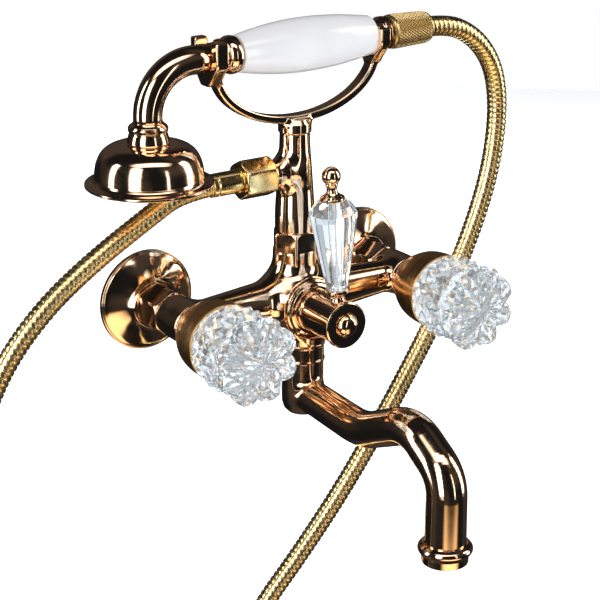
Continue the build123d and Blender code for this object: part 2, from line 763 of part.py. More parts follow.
with BuildPart() as spray_head:
    turn_curved(
        HEAD_AXIS,
        [(11.0, 106.5), (17.0, 106.2), (23.0, 103.4), (27.6, 98.0), (29.6, 91.5), (30.4, 88.0), (35.5, 85.0)],
        [(35.5, RIM_Z), (33.0, RIM_Z), (32.4, 85.2), (28.6, 87.6), (26.0, 96.4), (21.5, 101.6), (11.0, 104.6)],
    )
    tube(HEAD_AXIS, 5.7, 11.0, 104.6, 106.5)
finish(spray_head, "spray_head")

with BuildPart() as spray_gasket:
    tube(HEAD_AXIS, 28.8, 30.8, 85.2, 85.9)
finish(spray_gasket, "spray_gasket")

with BuildPart() as spray_plate:
    turn(HEAD_AXIS, [(0, 82.9), (26, 82.9), (31.8, RIM_Z + 0.1), (31.8, 85.1), (0, 85.1)])
    with BuildSketch(Plane(origin=(HEAD_X, -BODY_OUT, 82))):
        Circle(0.7)
        for ring in range(1, 5):
            with PolarLocations(6.2 * ring, 7 * ring):
                Circle(0.7)
    extrude(amount=5, mode=Mode.SUBTRACT)
finish(spray_plate, "spray_plate")

with BuildPart() as ferrule_left:
    turn(
        GRIP_AXIS,
        [
            (5.1, -50.1),
            (9.4, -50.1),
            (9.6, -49.0),
            (9.4, -47.6),
            (8.7, -46.8),
            (9.8, -45.6),
            (10.7, -43.4),
            (10.7, -41.4),
            (9.9, -39.4),
            (9.2, -38.7),
            (5.1, -38.7),
        ],
    )
finish(ferrule_left, "ferrule_left")

with BuildPart() as porcelain_grip:
    turn_curved(
        GRIP_AXIS,
        [(10.2, -38.6), (12.6, -25), (14.6, -10), (15.25, 3), (14.7, 16), (13.0, 30), (10.8, 42), (8.9, 50.4)],
        [(5.2, 50.4), (5.2, -38.6)],
    )
finish(porcelain_grip, "porcelain_grip")

with BuildPart() as grip_tube:
    tube(GRIP_AXIS, 3.6, 5.0, -50, 70)
finish(grip_tube, "grip_tube")

with BuildPart() as ferrule_right:
    turn(
        GRIP_AXIS,
        [
            (5.1, 50.5),
            (8.6, 50.5),
            (8.9, 52.0),
            (8.6, 57.0),
            (9.6, 58.2),
            (9.6, 61.0),
            (8.2, 62.4),
            (7.0, 62.4),
            (7.0, 69.8),
            (5.1, 69.8),
        ],
    )
finish(ferrule_right, "ferrule_right")

with BuildPart() as hose_cone_nut:
    turn(
        GRIP_AXIS,
        [
            (7.3, 64.0),
            (9.4, 64.0),
            (9.9, 65.0),
            (8.0, 92.2),
            (7.4, 93.0),
            (6.3, 93.0),
            (6.3, 73.0),
            (7.3, 72.0),
        ],
    )
finish(hose_cone_nut, "hose_cone_nut")

with BuildPart() as hose_washer:
    tube(GRIP_AXIS, 3.7, 6.9, 70.1, 71.7)
finish(hose_washer, "hose_washer")

with BuildPart() as hose_tail:
    # The barbed end of the hose inside the nut, which turns around it.
    tube(GRIP_AXIS, 2.6, 5.9, 72.0, HOSE_START_X - GAP)
finish(hose_tail, "hose_tail")


# Hose ----------------------------------------------------------------------------------------


def bend_radii(route):
    """One radius for each corner, as large as its two straight runs allow."""
    radii = []
    for before, corner, after in zip(route, route[1:], route[2:]):
        arriving = Vector(corner[0] - before[0], corner[1] - before[1])
        leaving = Vector(after[0] - corner[0], after[1] - corner[1])
        half_turn = math.radians(arriving.get_angle(leaving)) / 2
        radii.append(0.45 * min(arriving.length, leaving.length) / math.tan(half_turn))
    return radii


with BuildPart() as shower_hose:
    with BuildLine(Plane.XZ.offset(BODY_OUT)) as hose_line:
        FilletPolyline(*HOSE_ROUTE, radius=bend_radii(HOSE_ROUTE))
    hose_path = hose_line.wires()[0]
    with BuildSketch(Plane(origin=hose_path @ 0, z_dir=hose_path % 0)):
        Circle(HOSE_R)
    sweep(path=hose_path)
finish(shower_hose, "shower_hose")

print("hose radii", [round(radius) for radius in bend_radii(HOSE_ROUTE)])
print("hose length", round(hose_path.length, 1))
hose_section = math.pi * HOSE_R**2
print("hose volume over section times length", shower_hose.part.volume / (hose_section * hose_path.length))
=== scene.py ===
"""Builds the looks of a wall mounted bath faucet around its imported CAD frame.

The file is laid out as an add-on and run as a script. Every object is in metres, in the frame's
own axes: +X to the right facing the wall, -Y out of the wall, +Z up. Outlines and fields are in
millimetres.
"""

import json
import math

import bmesh
import bpy
import numpy as np
from bpy.props import FloatProperty, FloatVectorProperty, IntProperty, PointerProperty
from mathutils import Matrix, Vector


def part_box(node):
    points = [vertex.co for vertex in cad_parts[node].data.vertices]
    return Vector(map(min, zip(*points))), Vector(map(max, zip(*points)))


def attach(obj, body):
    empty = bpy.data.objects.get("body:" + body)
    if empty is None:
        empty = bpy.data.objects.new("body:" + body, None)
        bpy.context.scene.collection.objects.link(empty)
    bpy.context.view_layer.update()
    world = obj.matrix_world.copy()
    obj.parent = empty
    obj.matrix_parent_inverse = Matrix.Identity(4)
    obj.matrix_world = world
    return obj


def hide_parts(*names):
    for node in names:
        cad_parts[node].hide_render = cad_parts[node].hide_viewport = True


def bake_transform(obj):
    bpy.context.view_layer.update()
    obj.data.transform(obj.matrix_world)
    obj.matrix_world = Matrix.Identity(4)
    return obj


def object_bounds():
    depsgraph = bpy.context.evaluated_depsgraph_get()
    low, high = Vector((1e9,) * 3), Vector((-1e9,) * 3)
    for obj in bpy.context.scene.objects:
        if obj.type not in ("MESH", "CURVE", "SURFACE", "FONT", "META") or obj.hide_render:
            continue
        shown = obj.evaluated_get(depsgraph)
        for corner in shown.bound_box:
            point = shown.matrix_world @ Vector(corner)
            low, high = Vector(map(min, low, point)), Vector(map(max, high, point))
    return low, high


bl_info = {
    "name": "Bath Faucet",
    "version": (1, 0, 0),
    "blender": (4, 5, 0),
    "location": "View3D > Sidebar > Bath Faucet",
    "description": "Builds a wall mounted bath faucet with its hand shower, piece by piece",
    "category": "Object",
}

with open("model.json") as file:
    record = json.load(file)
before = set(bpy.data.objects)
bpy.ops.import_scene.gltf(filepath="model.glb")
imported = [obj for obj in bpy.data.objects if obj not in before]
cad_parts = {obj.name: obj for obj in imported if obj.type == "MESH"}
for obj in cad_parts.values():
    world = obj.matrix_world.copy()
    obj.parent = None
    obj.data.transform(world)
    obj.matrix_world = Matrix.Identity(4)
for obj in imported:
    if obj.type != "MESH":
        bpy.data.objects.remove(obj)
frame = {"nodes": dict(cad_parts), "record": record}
CAD_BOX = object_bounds()

MM = 0.001
TURN = 2 * math.pi
OUT = Vector((0, -1, 0))
UP = Vector((0, 0, 1))
ALONG = Vector((1, 0, 0))
SIDES = ("left", "right")

# The hose's route in the plane of the column, as (x, z) in metres, from the handset to the tee.
HOSE_ROUTE = [
    (0.0875, 0.1485),
    (0.1065, 0.1485),
    (0.124, 0.1415),
    (0.138, 0.1285),
    (0.1465, 0.111),
    (0.149, 0.0855),
    (0.144, 0.050),
    (0.129, 0.0105),
    (0.109, -0.0285),
    (0.086, -0.064),
    (0.060, -0.1015),
    (0.033, -0.1365),
    (0.0035, -0.1695),
    (-0.026, -0.199),
    (-0.050, -0.235),
    (-0.067, -0.280),
    (-0.076, -0.332),
    (-0.082, -0.390),
    (-0.090, -0.436),
    (-0.108, -0.464),
    (-0.137, -0.480),
    (-0.170, -0.479),
    (-0.198, -0.462),
    (-0.214, -0.433),
    (-0.220, -0.386),
    (-0.222, -0.326),
    (-0.2225, -0.266),
    (-0.222, -0.208),
    (-0.2205, -0.149),
    (-0.217, -0.094),
    (-0.208, -0.046),
    (-0.190, -0.006),
    (-0.163, 0.024),
    (-0.131, 0.046),
    (-0.097, 0.0645),
    (-0.075, 0.076),
    (-0.050, 0.076),
]


# Settings ------------------------------------------------------------------------------------


class PlatingSettings(bpy.types.PropertyGroup):
    rose: FloatVectorProperty(
        name="Rose gold",
        description="Colour of the mirror-polished plating",
        subtype="COLOR",
        default=(0.93, 0.68, 0.48),
        min=0,
        max=1,
    )
    satin: FloatVectorProperty(
        name="Satin gold",
        description="Colour of the turned cups behind the crystal knobs",
        subtype="COLOR",
        default=(0.72, 0.45, 0.21),
        min=0,
        max=1,
    )
    yellow: FloatVectorProperty(
        name="Yellow gold",
        description="Colour of the hose's nuts and ferrule",
        subtype="COLOR",
        default=(0.97, 0.76, 0.38),
        min=0,
        max=1,
    )
    hose: FloatVectorProperty(
        name="Hose gold",
        description="Colour of the hose's strip",
        subtype="COLOR",
        default=(0.93, 0.76, 0.41),
        min=0,
        max=1,
    )
    smudge_size: FloatProperty(
        name="Smudge size",
        description="Distance between the faint cloudy patches in the polish",
        unit="LENGTH",
        default=0.03,
        min=0.002,
    )


class CrystalSettings(bpy.types.PropertyGroup):
    body_facets: IntProperty(
        name="Body facets", description="Diamonds round the knob's body", default=16, min=8
    )
    petals: IntProperty(
        name="Petals", description="Petals round the knob's front", default=8, min=5
    )
    cut_depth: FloatProperty(
        name="Cut depth",
        description="Depth of the cuts between the diamonds",
        unit="LENGTH",
        default=0.0019,
        min=0,
    )
    lever_facets: IntProperty(
        name="Lever facets", description="Flat sides of the lever's crystal", default=16, min=6
    )


class HoseSettings(bpy.types.PropertyGroup):
    pitch: FloatProperty(
        name="Pitch",
        description="Length along the hose of one turn of its strip",
        unit="LENGTH",
        default=0.0034,
        min=0.001,
    )
    groove: FloatProperty(
        name="Groove",
        description="Depth of the groove between two turns",
        unit="LENGTH",
        default=0.0006,
        min=0,
    )


class CastingSettings(bpy.types.PropertyGroup):
    grid: FloatProperty(
        name="Grid",
        description="Size of the mesh's squares on the cast pieces",
        unit="LENGTH",
        default=0.0009,
        min=0.0003,
    )
    fine_grid: FloatProperty(
        name="Fine grid",
        description="Size of the mesh's squares on nuts and other small cast pieces",
        unit="LENGTH",
        default=0.0006,
        min=0.0003,
    )
    steps: IntProperty(
        name="Steps", description="Faces round a turned piece", default=112, min=24
    )


class StudioSettings(bpy.types.PropertyGroup):
    floor_drop: FloatProperty(
        name="Floor drop",
        description="Height of the object's lowest point above the floor",
        unit="LENGTH",
        default=1.6,
        min=0,
    )
    tent_light: FloatProperty(
        name="Tent light", description="Brightness of the white tent", default=0.88, min=0
    )


SETTINGS = {
    "plating": PlatingSettings,
    "crystal": CrystalSettings,
    "hose": HoseSettings,
    "casting": CastingSettings,
    "studio": StudioSettings,
}


def settings(group):
    return getattr(bpy.context.scene, "faucet_" + group)


# Places --------------------------------------------------------------------------------------


def middle(node):
    low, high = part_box(node)
    return (low + high) / 2


def middle_mm(node):
    return middle(node) / MM


def corners_mm(node):
    """The lowest and highest corners of a node, in millimetres."""
    return [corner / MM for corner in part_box(node)]


def beside(axis, radius, angle, height):
    """The point at a radius and height in millimetres, and an angle, about an axis."""
    return axis @ (Vector((radius * math.cos(angle), radius * math.sin(angle), height)) * MM)


def axis_frame(origin, up):
    """A frame with its third axis along up. Its first axis is X, or Z for a piece along the wall."""
    first = UP if abs(up.x) > 0.9 else ALONG
    first = (first - up * first.dot(up)).normalized()
    second = up.cross(first)
    frame_matrix = Matrix((first, second, up)).transposed().to_4x4()
    frame_matrix.translation = origin
    return frame_matrix


def out_axis(node):
    """Heights run out of the wall, from the wall's plane."""
    centre = middle(node)
    return axis_frame(Vector((centre.x, 0, centre.z)), OUT)


def up_axis(node):
    """Heights are the row's own Z."""
    centre = middle(node)
    return axis_frame(Vector((centre.x, centre.y, 0)), UP)


def along_axis(node):
    """Heights are the row's own X."""
    centre = middle(node)
    return axis_frame(Vector((0, centre.y, centre.z)), ALONG)


def body_with(node):
    for body, members in frame["record"]["behaviour"]["bodies"].items():
        if node in members:
            return body
    raise RuntimeError(f"no body holds {node}")


def slot_of(node):
    for subpart in frame["record"]["subparts"]:
        if subpart["node"] == node:
            return subpart["material_slot"]
    raise RuntimeError(f"no slot for {node}")


def stand_for(piece, node):
    """The piece is shown in place of the CAD node and moves with its body."""
    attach(piece, body_with(node))
    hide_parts(node)
    return piece


# Outlines ------------------------------------------------------------------------------------

NEARLY_STRAIGHT = math.radians(9)
ARC_STEP = math.radians(22)
SUPPORT = 0.12  # mm from a rounded corner to the loop that keeps the flat beside it flat


def smooth(points, steps=7):
    """Points on a smooth curve through the given ones."""
    ends = [2 * Vector(points[0]) - Vector(points[1]), 2 * Vector(points[-1]) - Vector(points[-2])]
    chain = [ends[0], *[Vector(p) for p in points], ends[1]]
    curve = []
    for before, start, end, after in zip(chain, chain[1:], chain[2:], chain[3:]):
        for step in range(steps):
            t = step / steps
            a = 2 * start
            b = (end - before) * t
            c = (2 * before - 5 * start + 4 * end - after) * t**2
            d = (3 * start - before - 3 * end + after) * t**3
            curve.append(tuple((a + b + c + d) / 2))
    return curve + [tuple(points[-1])]


def arc(centre_r, centre_h, radius, first, last, steps=8):
    """Points on an arc, with its angles in degrees from the radius's direction towards +height."""
    angles = [math.radians(first + (last - first) * i / steps) for i in range(steps + 1)]
    return [(centre_r + radius * math.cos(a), centre_h + radius * math.sin(a)) for a in angles]


def rounded(points, rounding):
    """Rounds the corners of a closed outline of (radius, height) or (radius, height, rounding)."""
    soft = []
    for before, corner, after in zip([points[-1], *points], points, [*points[1:], points[0]]):
        here = Vector(corner[:2])
        back = Vector(before[:2]) - here
        onward = Vector(after[:2]) - here
        turned_by = math.pi - back.angle(onward)
        if corner[0] <= 0 or turned_by < NEARLY_STRAIGHT:
            soft.append(tuple(here))
            continue
        size = corner[2] if len(corner) > 2 else rounding
        reach = min(size * math.tan(turned_by / 2), 0.4 * back.length, 0.4 * onward.length)
        back.normalize()
        onward.normalize()
        support = min(SUPPORT, reach * 0.2)
        start = here + back * reach
        end = here + onward * reach
        soft.append(tuple(start + back * support))
        count = max(3, math.ceil(turned_by / ARC_STEP))
        for step in range(count + 1):
            t = step / count
            soft.append(tuple(start * (1 - t) ** 2 + here * 2 * t * (1 - t) + end * t**2))
        soft.append(tuple(end + onward * support))
    return soft


# Meshes --------------------------------------------------------------------------------------


def piece_from(name, points, faces, material, flat=False):
    """A closed mesh piece, with its normals pointing outwards."""
    mesh = bpy.data.meshes.new(name)
    mesh.from_pydata([tuple(p) for p in points], [], faces)
    shape = bmesh.new()
    shape.from_mesh(mesh)
    bmesh.ops.remove_doubles(shape, verts=shape.verts, dist=1e-7)
    bmesh.ops.dissolve_degenerate(shape, edges=shape.edges, dist=1e-8)
    bmesh.ops.recalc_face_normals(shape, faces=shape.faces)
    shape.to_mesh(mesh)
    shape.free()
    mesh.polygons.foreach_set("use_smooth", [not flat] * len(mesh.polygons))
    mesh.materials.append(material)
    piece = bpy.data.objects.new(name, mesh)
    bpy.context.scene.collection.objects.link(piece)
    return piece


def turned(name, outline, axis, material, rounding=0.3, steps=None):
    """Turns a closed outline of (radius, height) in millimetres about an axis."""
    steps = steps or settings("casting").steps
    soft = rounded(outline, rounding)
    points, faces, rings = [], [], []
    for radius, height in soft:
        if radius < 1e-6:
            points.append(axis @ Vector((0, 0, height * MM)))
            rings.append([len(points) - 1] * steps)
            continue
        start = len(points)
        points += [beside(axis, radius, TURN * j / steps, height) for j in range(steps)]
        rings.append(list(range(start, start + steps)))
    for ring, following in zip(rings, [*rings[1:], rings[0]]):
        for step in range(steps):
            onward = (step + 1) % steps
            corners = [ring[step], ring[onward], following[onward], following[step]]
            corners = list(dict.fromkeys(corners))
            if len(corners) > 2:
                faces.append(corners)
    return piece_from(name, points, faces, material)


def tube_along(name, line, radii, material, steps=64):
    """A closed tube round a line of points, with one radius for each point."""
    points, faces = [], []
    side = None
    for i, (here, radius) in enumerate(zip(line, radii)):
        ahead = (line[min(i + 1, len(line) - 1)] - line[max(i - 1, 0)]).normalized()
        side = (side or ahead.orthogonal()).normalized()
        side = (side - ahead * side.dot(ahead)).normalized()
        other = ahead.cross(side)
        for step in range(steps):
            angle = TURN * step / steps
            points.append(here + (side * math.cos(angle) + other * math.sin(angle)) * radius)
    for i in range(len(line) - 1):
        for step in range(steps):
            onward = (step + 1) % steps
            low, high = i * steps, (i + 1) * steps
            faces.append([low + step, low + onward, high + onward, high + step])
    faces.append(list(range(steps)))
    faces.append(list(range((len(line) - 1) * steps, len(line) * steps)))
    return piece_from(name, points, faces, material)


# Castings are the zero surface of a distance field, given in millimetres.

PULLS = 5  # times that a casting's points are moved onto its surface


def blend(a, b, reach):
    """The union of two fields, with a fillet."""
    h = np.clip(0.5 + 0.5 * (b - a) / reach, 0, 1)
    return b + (a - b) * h - reach * h * (1 - h)


def common(a, b, reach):
    """What two fields have in common, with a softened edge."""
    return -blend(-a, -b, reach)


def cut(a, b, reach):
    """The first field without the second, with a softened edge."""
    return common(a, -b, reach)


def taper_field(p, start, end, start_r, end_r):
    """A rod between two points whose radius changes evenly, with round ends."""
    start, end = np.array(start, float), np.array(end, float)
    run = end - start
    t = np.clip(((p - start) @ run) / (run @ run), 0, 1)
    nearest = start + t[..., None] * run
    return np.linalg.norm(p - nearest, axis=-1) - (start_r + (end_r - start_r) * t)


def turned_field(p, centre, axis, outline, edge):
    """A turned shape whose radius follows an outline of (height, radius), with flat ends."""
    across = [i for i in range(3) if i != axis]
    radial = np.hypot(p[..., across[0]] - centre[across[0]], p[..., across[1]] - centre[across[1]])
    height = p[..., axis]
    heights, radii = zip(*outline)
    side = radial - np.interp(height, heights, radii)
    ends = np.maximum(heights[0] - height, height - heights[-1])
    return common(side, ends, edge)


def hexagon_field(p, centre, axis, low, high, flat_r, cone_r, slope, bore_r):
    """A hexagonal nut with coned ends and a bore."""
    across = [i for i in range(3) if i != axis]
    u = p[..., across[0]] - centre[across[0]]
    v = p[..., across[1]] - centre[across[1]]
    turn = 0 if axis == 2 else math.pi / 6
    angles = [turn + i * math.pi / 3 for i in range(3)]
    sides = [np.abs(u * math.sin(a) + v * math.cos(a)) for a in angles]
    field = common(common(sides[0], sides[1], 0.9), sides[2], 0.9) - flat_r
    radial = np.hypot(u, v)
    from_end = (high - low) / 2 - np.abs(p[..., axis] - (high + low) / 2)
    corner_r = flat_r / math.cos(math.pi / 6) + 1
    lean = math.hypot(corner_r - cone_r, slope)
    cone = ((radial - cone_r) * slope - from_end * (corner_r - cone_r)) / lean
    field = common(field, cone, 0.7)
    field = common(field, -from_end, 0.5)
    return cut(field, radial - bore_r, 0.5)


def cast(name, field, low, high, grid, material):
    """Meshes a field's zero surface: one vertex in each crossed cell, moved onto the surface."""
    low, high = np.array(low, float) - 2 * grid, np.array(high, float) + 2 * grid
    axes = [np.arange(a, b + grid, grid) for a, b in zip(low, high)]
    lattice = np.stack(np.meshgrid(*axes, indexing="ij"), -1)
    values = field(lattice)
    for axis in range(3):
        edges = [slice(None)] * 3
        edges[axis] = [0, -1]
        values[tuple(edges)] = np.maximum(values[tuple(edges)], grid)
    cells = tuple(n - 1 for n in values.shape)
    total = np.zeros(cells + (3,))
    count = np.zeros(cells)
    crossings = []
    for axis in range(3):
        near = np.take(values, range(values.shape[axis] - 1), axis)
        far = np.take(values, range(1, values.shape[axis]), axis)
        where = np.argwhere((near < 0) != (far < 0))
        a, b = near[tuple(where.T)], far[tuple(where.T)]
        place = where.astype(float)
        place[:, axis] += a / (a - b)
        crossings.append((axis, where))
        others = [i for i in range(3) if i != axis]
        for step_a in (0, 1):
            for step_b in (0, 1):
                cell = where.copy()
                cell[:, others[0]] -= step_a
                cell[:, others[1]] -= step_b
                np.add.at(total, tuple(cell.T), place)
                np.add.at(count, tuple(cell.T), 1)
    used = count > 0
    number = np.full(cells, -1)
    number[used] = np.arange(used.sum())
    points = low + total[used] / count[used][:, None] * grid
    faces = []
    for axis, where in crossings:
        others = [i for i in range(3) if i != axis]
        corners = []
        for step_a, step_b in ((0, 0), (1, 0), (1, 1), (0, 1)):
            cell = where.copy()
            cell[:, others[0]] -= step_a
            cell[:, others[1]] -= step_b
            corners.append(number[tuple(cell.T)])
        faces.append(np.stack(corners, 1))
    for _ in range(PULLS):
        value, slope = field(points), field_slope(field, points)
        step = value / np.maximum((slope**2).sum(1), 0.25)
        points = points - np.clip(step, -grid / 2, grid / 2)[:, None] * slope
    piece = piece_from(name, points * MM, np.concatenate(faces).tolist(), material)
    places = np.zeros(len(piece.data.vertices) * 3)
    piece.data.vertices.foreach_get("co", places)
    slope = field_slope(field, places.reshape(-1, 3) / MM)
    length = np.linalg.norm(slope, axis=1)[:, None]
    piece.data.normals_split_custom_set_from_vertices(slope / np.maximum(length, 1e-6))
    return piece


def hexagon_nut(node, name, axis, flat_r, cone_r, slope, bore_r, slot):
    """Casts a hexagon nut in place of a node, along one of the row's own axes."""
    low, high = corners_mm(node)
    centre = middle_mm(node)

    def field(p):
        ends = low[axis], high[axis]
        return hexagon_field(p, centre, axis, *ends, flat_r, cone_r, slope, bore_r)

    grid = settings("casting").fine_grid / MM
    stand_for(cast(name, field, low, high, grid, material(slot)), node)


def field_slope(field, points, step=0.02):
    """The field's gradient, by central differences."""
    offsets = np.eye(3) * step
    return np.stack([(field(points + o) - field(points - o)) / (2 * step) for o in offsets], -1)


# Node trees that repeat a small shape --------------------------------------------------------


class Tree:
    """A Geometry Nodes tree under construction, with named inputs."""

    def __init__(self, name, inputs):
        self.tree = bpy.data.node_groups.new(name, "GeometryNodeTree")
        face = self.tree.interface
        self.sockets = {}
        for label, (kind, value) in inputs.items():
            socket = face.new_socket(label, in_out="INPUT", socket_type=kind)
            socket.default_value = value
            self.sockets[label] = socket.identifier
        face.new_socket("Geometry", in_out="OUTPUT", socket_type="NodeSocketGeometry")
        self.given = self.tree.nodes.new("NodeGroupInput")

    def add(self, kind, links=None, **properties):
        """A node with its properties set and its inputs linked to sockets or given values."""
        node = self.tree.nodes.new(kind)
        for key, value in properties.items():
            setattr(node, key, value)
        for key, value in (links or {}).items():
            if isinstance(value, str):
                value = self.given.outputs[value]
            if isinstance(value, bpy.types.NodeSocket):
                self.tree.links.new(value, node.inputs[key])
            else:
                node.inputs[key].default_value = value
        return node

    def math(self, operation, *values):
        return self.add("ShaderNodeMath", dict(enumerate(values)), operation=operation).outputs[0]

    def finish(self, geometry, material):
        """Ends the tree in real geometry with its material."""
        real = self.add("GeometryNodeRealizeInstances", {"Geometry": geometry})
        painted = self.add("GeometryNodeSetMaterial", {"Geometry": real.outputs[0]})
        painted.inputs["Material"].default_value = material
        end = self.tree.nodes.new("NodeGroupOutput")
        self.tree.links.new(painted.outputs[0], end.inputs[0])


def grown(name, tree, material, axis, values=None):
    """The mesh that a tree makes, as a plain piece, moved from the tree's own axes to an axis."""
    holder = bpy.data.objects.new(name + "_tree", bpy.data.meshes.new(name + "_tree"))
    bpy.context.scene.collection.objects.link(holder)
    modifier = holder.modifiers.new("Tree", "NODES")
    modifier.node_group = tree.tree
    for label, value in (values or {}).items():
        modifier[tree.sockets[label]] = value
    evaluated = holder.evaluated_get(bpy.context.evaluated_depsgraph_get())
    mesh = bpy.data.meshes.new_from_object(evaluated)
    mesh.transform(axis)
    if not mesh.polygons:
        raise RuntimeError(f"the tree of {name} made no faces")
    if not mesh.materials:
        mesh.materials.append(material)
    bpy.data.objects.remove(holder)
    piece = bpy.data.objects.new(name, mesh)
    bpy.context.scene.collection.objects.link(piece)
    return piece


# Materials -----------------------------------------------------------------------------------


class Paint:
    """A material under construction, with Object coordinates ready."""

    def __init__(self, name):
        self.material = bpy.data.materials.new(name)
        self.material.use_nodes = True
        self.nodes = self.material.node_tree.nodes
        self.links = self.material.node_tree.links
        self.shader = self.nodes["Principled BSDF"]
        self.place = self.nodes.new("ShaderNodeTexCoord").outputs["Object"]

    def set(self, **values):
        for key, value in values.items():
            self.shader.inputs[key.replace("_", " ")].default_value = value

    def stretched(self, scale):
        mapping = self.nodes.new("ShaderNodeMapping")
        mapping.inputs["Scale"].default_value = scale
        self.links.new(self.place, mapping.inputs["Vector"])
        return mapping.outputs[0]

    def noise(self, scale, detail=3, vector=None, roughness=0.55):
        node = self.nodes.new("ShaderNodeTexNoise")
        node.inputs["Scale"].default_value = scale
        node.inputs["Detail"].default_value = detail
        node.inputs["Roughness"].default_value = roughness
        self.links.new(vector or self.place, node.inputs["Vector"])
        return node.outputs["Fac"]

    def spread(self, value, low, high, start=0.3, end=0.7):
        """Maps a pattern from its usual spread to a range."""
        node = self.nodes.new("ShaderNodeMapRange")
        limits = {"From Min": start, "From Max": end, "To Min": low, "To Max": high}
        for key, number in limits.items():
            node.inputs[key].default_value = number
        self.links.new(value, node.inputs["Value"])
        return node.outputs[0]

    def colours(self, value, *stops):
        """Colours a pattern with (position, colour) stops."""
        ramp = self.nodes.new("ShaderNodeValToRGB")
        elements = ramp.color_ramp.elements
        while len(elements) < len(stops):
            elements.new(0.5)
        for element, (position, colour) in zip(elements, stops):
            element.position = position
            element.color = (*colour, 1)
        self.links.new(value, ramp.inputs["Fac"])
        self.links.new(ramp.outputs["Color"], self.shader.inputs["Base Color"])

    def to(self, value, socket):
        self.links.new(value, self.shader.inputs[socket])

    def bump(self, value, depth, strength=1.0):
        """Raises the surface by a pattern, by up to a depth in metres."""
        previous = self.shader.inputs["Normal"].links
        node = self.nodes.new("ShaderNodeBump")
        node.inputs["Distance"].default_value = depth
        node.inputs["Strength"].default_value = strength
        self.links.new(value, node.inputs["Height"])
        if previous:
            self.links.new(previous[0].from_socket, node.inputs["Normal"])
        self.links.new(node.outputs["Normal"], self.shader.inputs["Normal"])


def shade(colour, factor):
    return tuple(min(1.0, c * factor) for c in colour)


def mirror_plating(name, colour):
    """Mirror-polished plating, with faint clouds in the polish and the odd hairline."""
    paint = Paint(name)
    paint.set(Metallic=1.0)
    cloud = paint.noise(1 / settings("plating").smudge_size, 4)
    paint.colours(cloud, (0.35, shade(colour, 0.93)), (0.65, shade(colour, 1.05)))
    paint.to(paint.spread(paint.noise(140, 5), 0.06, 0.12), "Roughness")
    paint.bump(paint.noise(60, 2), 2e-5, 0.35)
    paint.bump(paint.noise(14, 2, paint.stretched((1, 60, 160))), 1e-6, 0.25)
    return paint.material


def turned_satin(name, colour):
    """Satin plating with fine tool lines round the Y axis."""
    paint = Paint(name)
    paint.set(Metallic=1.0, Anisotropic=0.5)
    lines = paint.noise(10, 4, paint.stretched((2, 260, 2)))
    paint.colours(lines, (0.3, shade(colour, 0.75)), (0.5, colour), (0.72, shade(colour, 1.3)))
    paint.to(paint.spread(lines, 0.2, 0.38), "Roughness")
    paint.bump(lines, 4e-5, 0.6)
    return paint.material


def gold_plating(name, colour, low=0.10, high=0.22):
    """Yellow gold plating over brass strip, a little worn to a paler shine."""
    paint = Paint(name)
    paint.set(Metallic=1.0)
    wear = paint.noise(90, 5)
    paint.colours(wear, (0.3, shade(colour, 0.82)), (0.55, colour), (0.75, shade(colour, 1.14)))
    paint.to(paint.spread(paint.noise(320, 4), low, high), "Roughness")
    paint.bump(paint.noise(420, 3), 2e-5, 0.4)
    return paint.material


def cut_crystal(name):
    """Clear lead crystal with very faint striae."""
    paint = Paint(name)
    paint.set(Transmission_Weight=0.90, IOR=1.5)
    paint.colours(paint.noise(45, 2), (0.3, (0.88, 0.95, 1.0)), (0.7, (0.97, 0.99, 1.0)))
    paint.to(paint.spread(paint.noise(300, 2), 0.0, 0.012), "Roughness")
    paint.bump(paint.noise(35, 2), 2e-5, 0.2)
    return paint.material


def white_glaze(name):
    """Thick white glaze over porcelain, with a gentle ripple."""
    paint = Paint(name)
    paint.set(Coat_Weight=0.6, Coat_Roughness=0.04, IOR=1.5)
    paint.colours(paint.noise(30, 4), (0.3, (0.72, 0.70, 0.70)), (0.7, (0.79, 0.765, 0.76)))
    paint.to(paint.spread(paint.noise(60, 3), 0.10, 0.2), "Roughness")
    paint.bump(paint.noise(55, 2), 8e-5, 0.25)
    return paint.material


def machined(name, colour, low, high):
    """Bare machined metal with tool marks."""
    paint = Paint(name)
    paint.set(Metallic=1.0)
    marks = paint.noise(12, 5, paint.stretched((30, 30, 120)))
    paint.colours(marks, (0.3, shade(colour, 0.8)), (0.7, shade(colour, 1.1)))
    paint.to(paint.spread(marks, low, high), "Roughness")
    paint.bump(marks, 3e-5, 0.5)
    return paint.material


def dull(name, dark, pale, scale, rough):
    """Rubber or unglazed ceramic, with fine grain."""
    paint = Paint(name)
    paint.colours(paint.noise(scale, 5), (0.3, dark), (0.7, pale))
    paint.to(paint.spread(paint.noise(scale * 3, 3), rough - 0.08, rough + 0.08), "Roughness")
    paint.bump(paint.noise(scale * 2, 4), 4e-5, 0.5)
    return paint.material


MATERIALS = {}


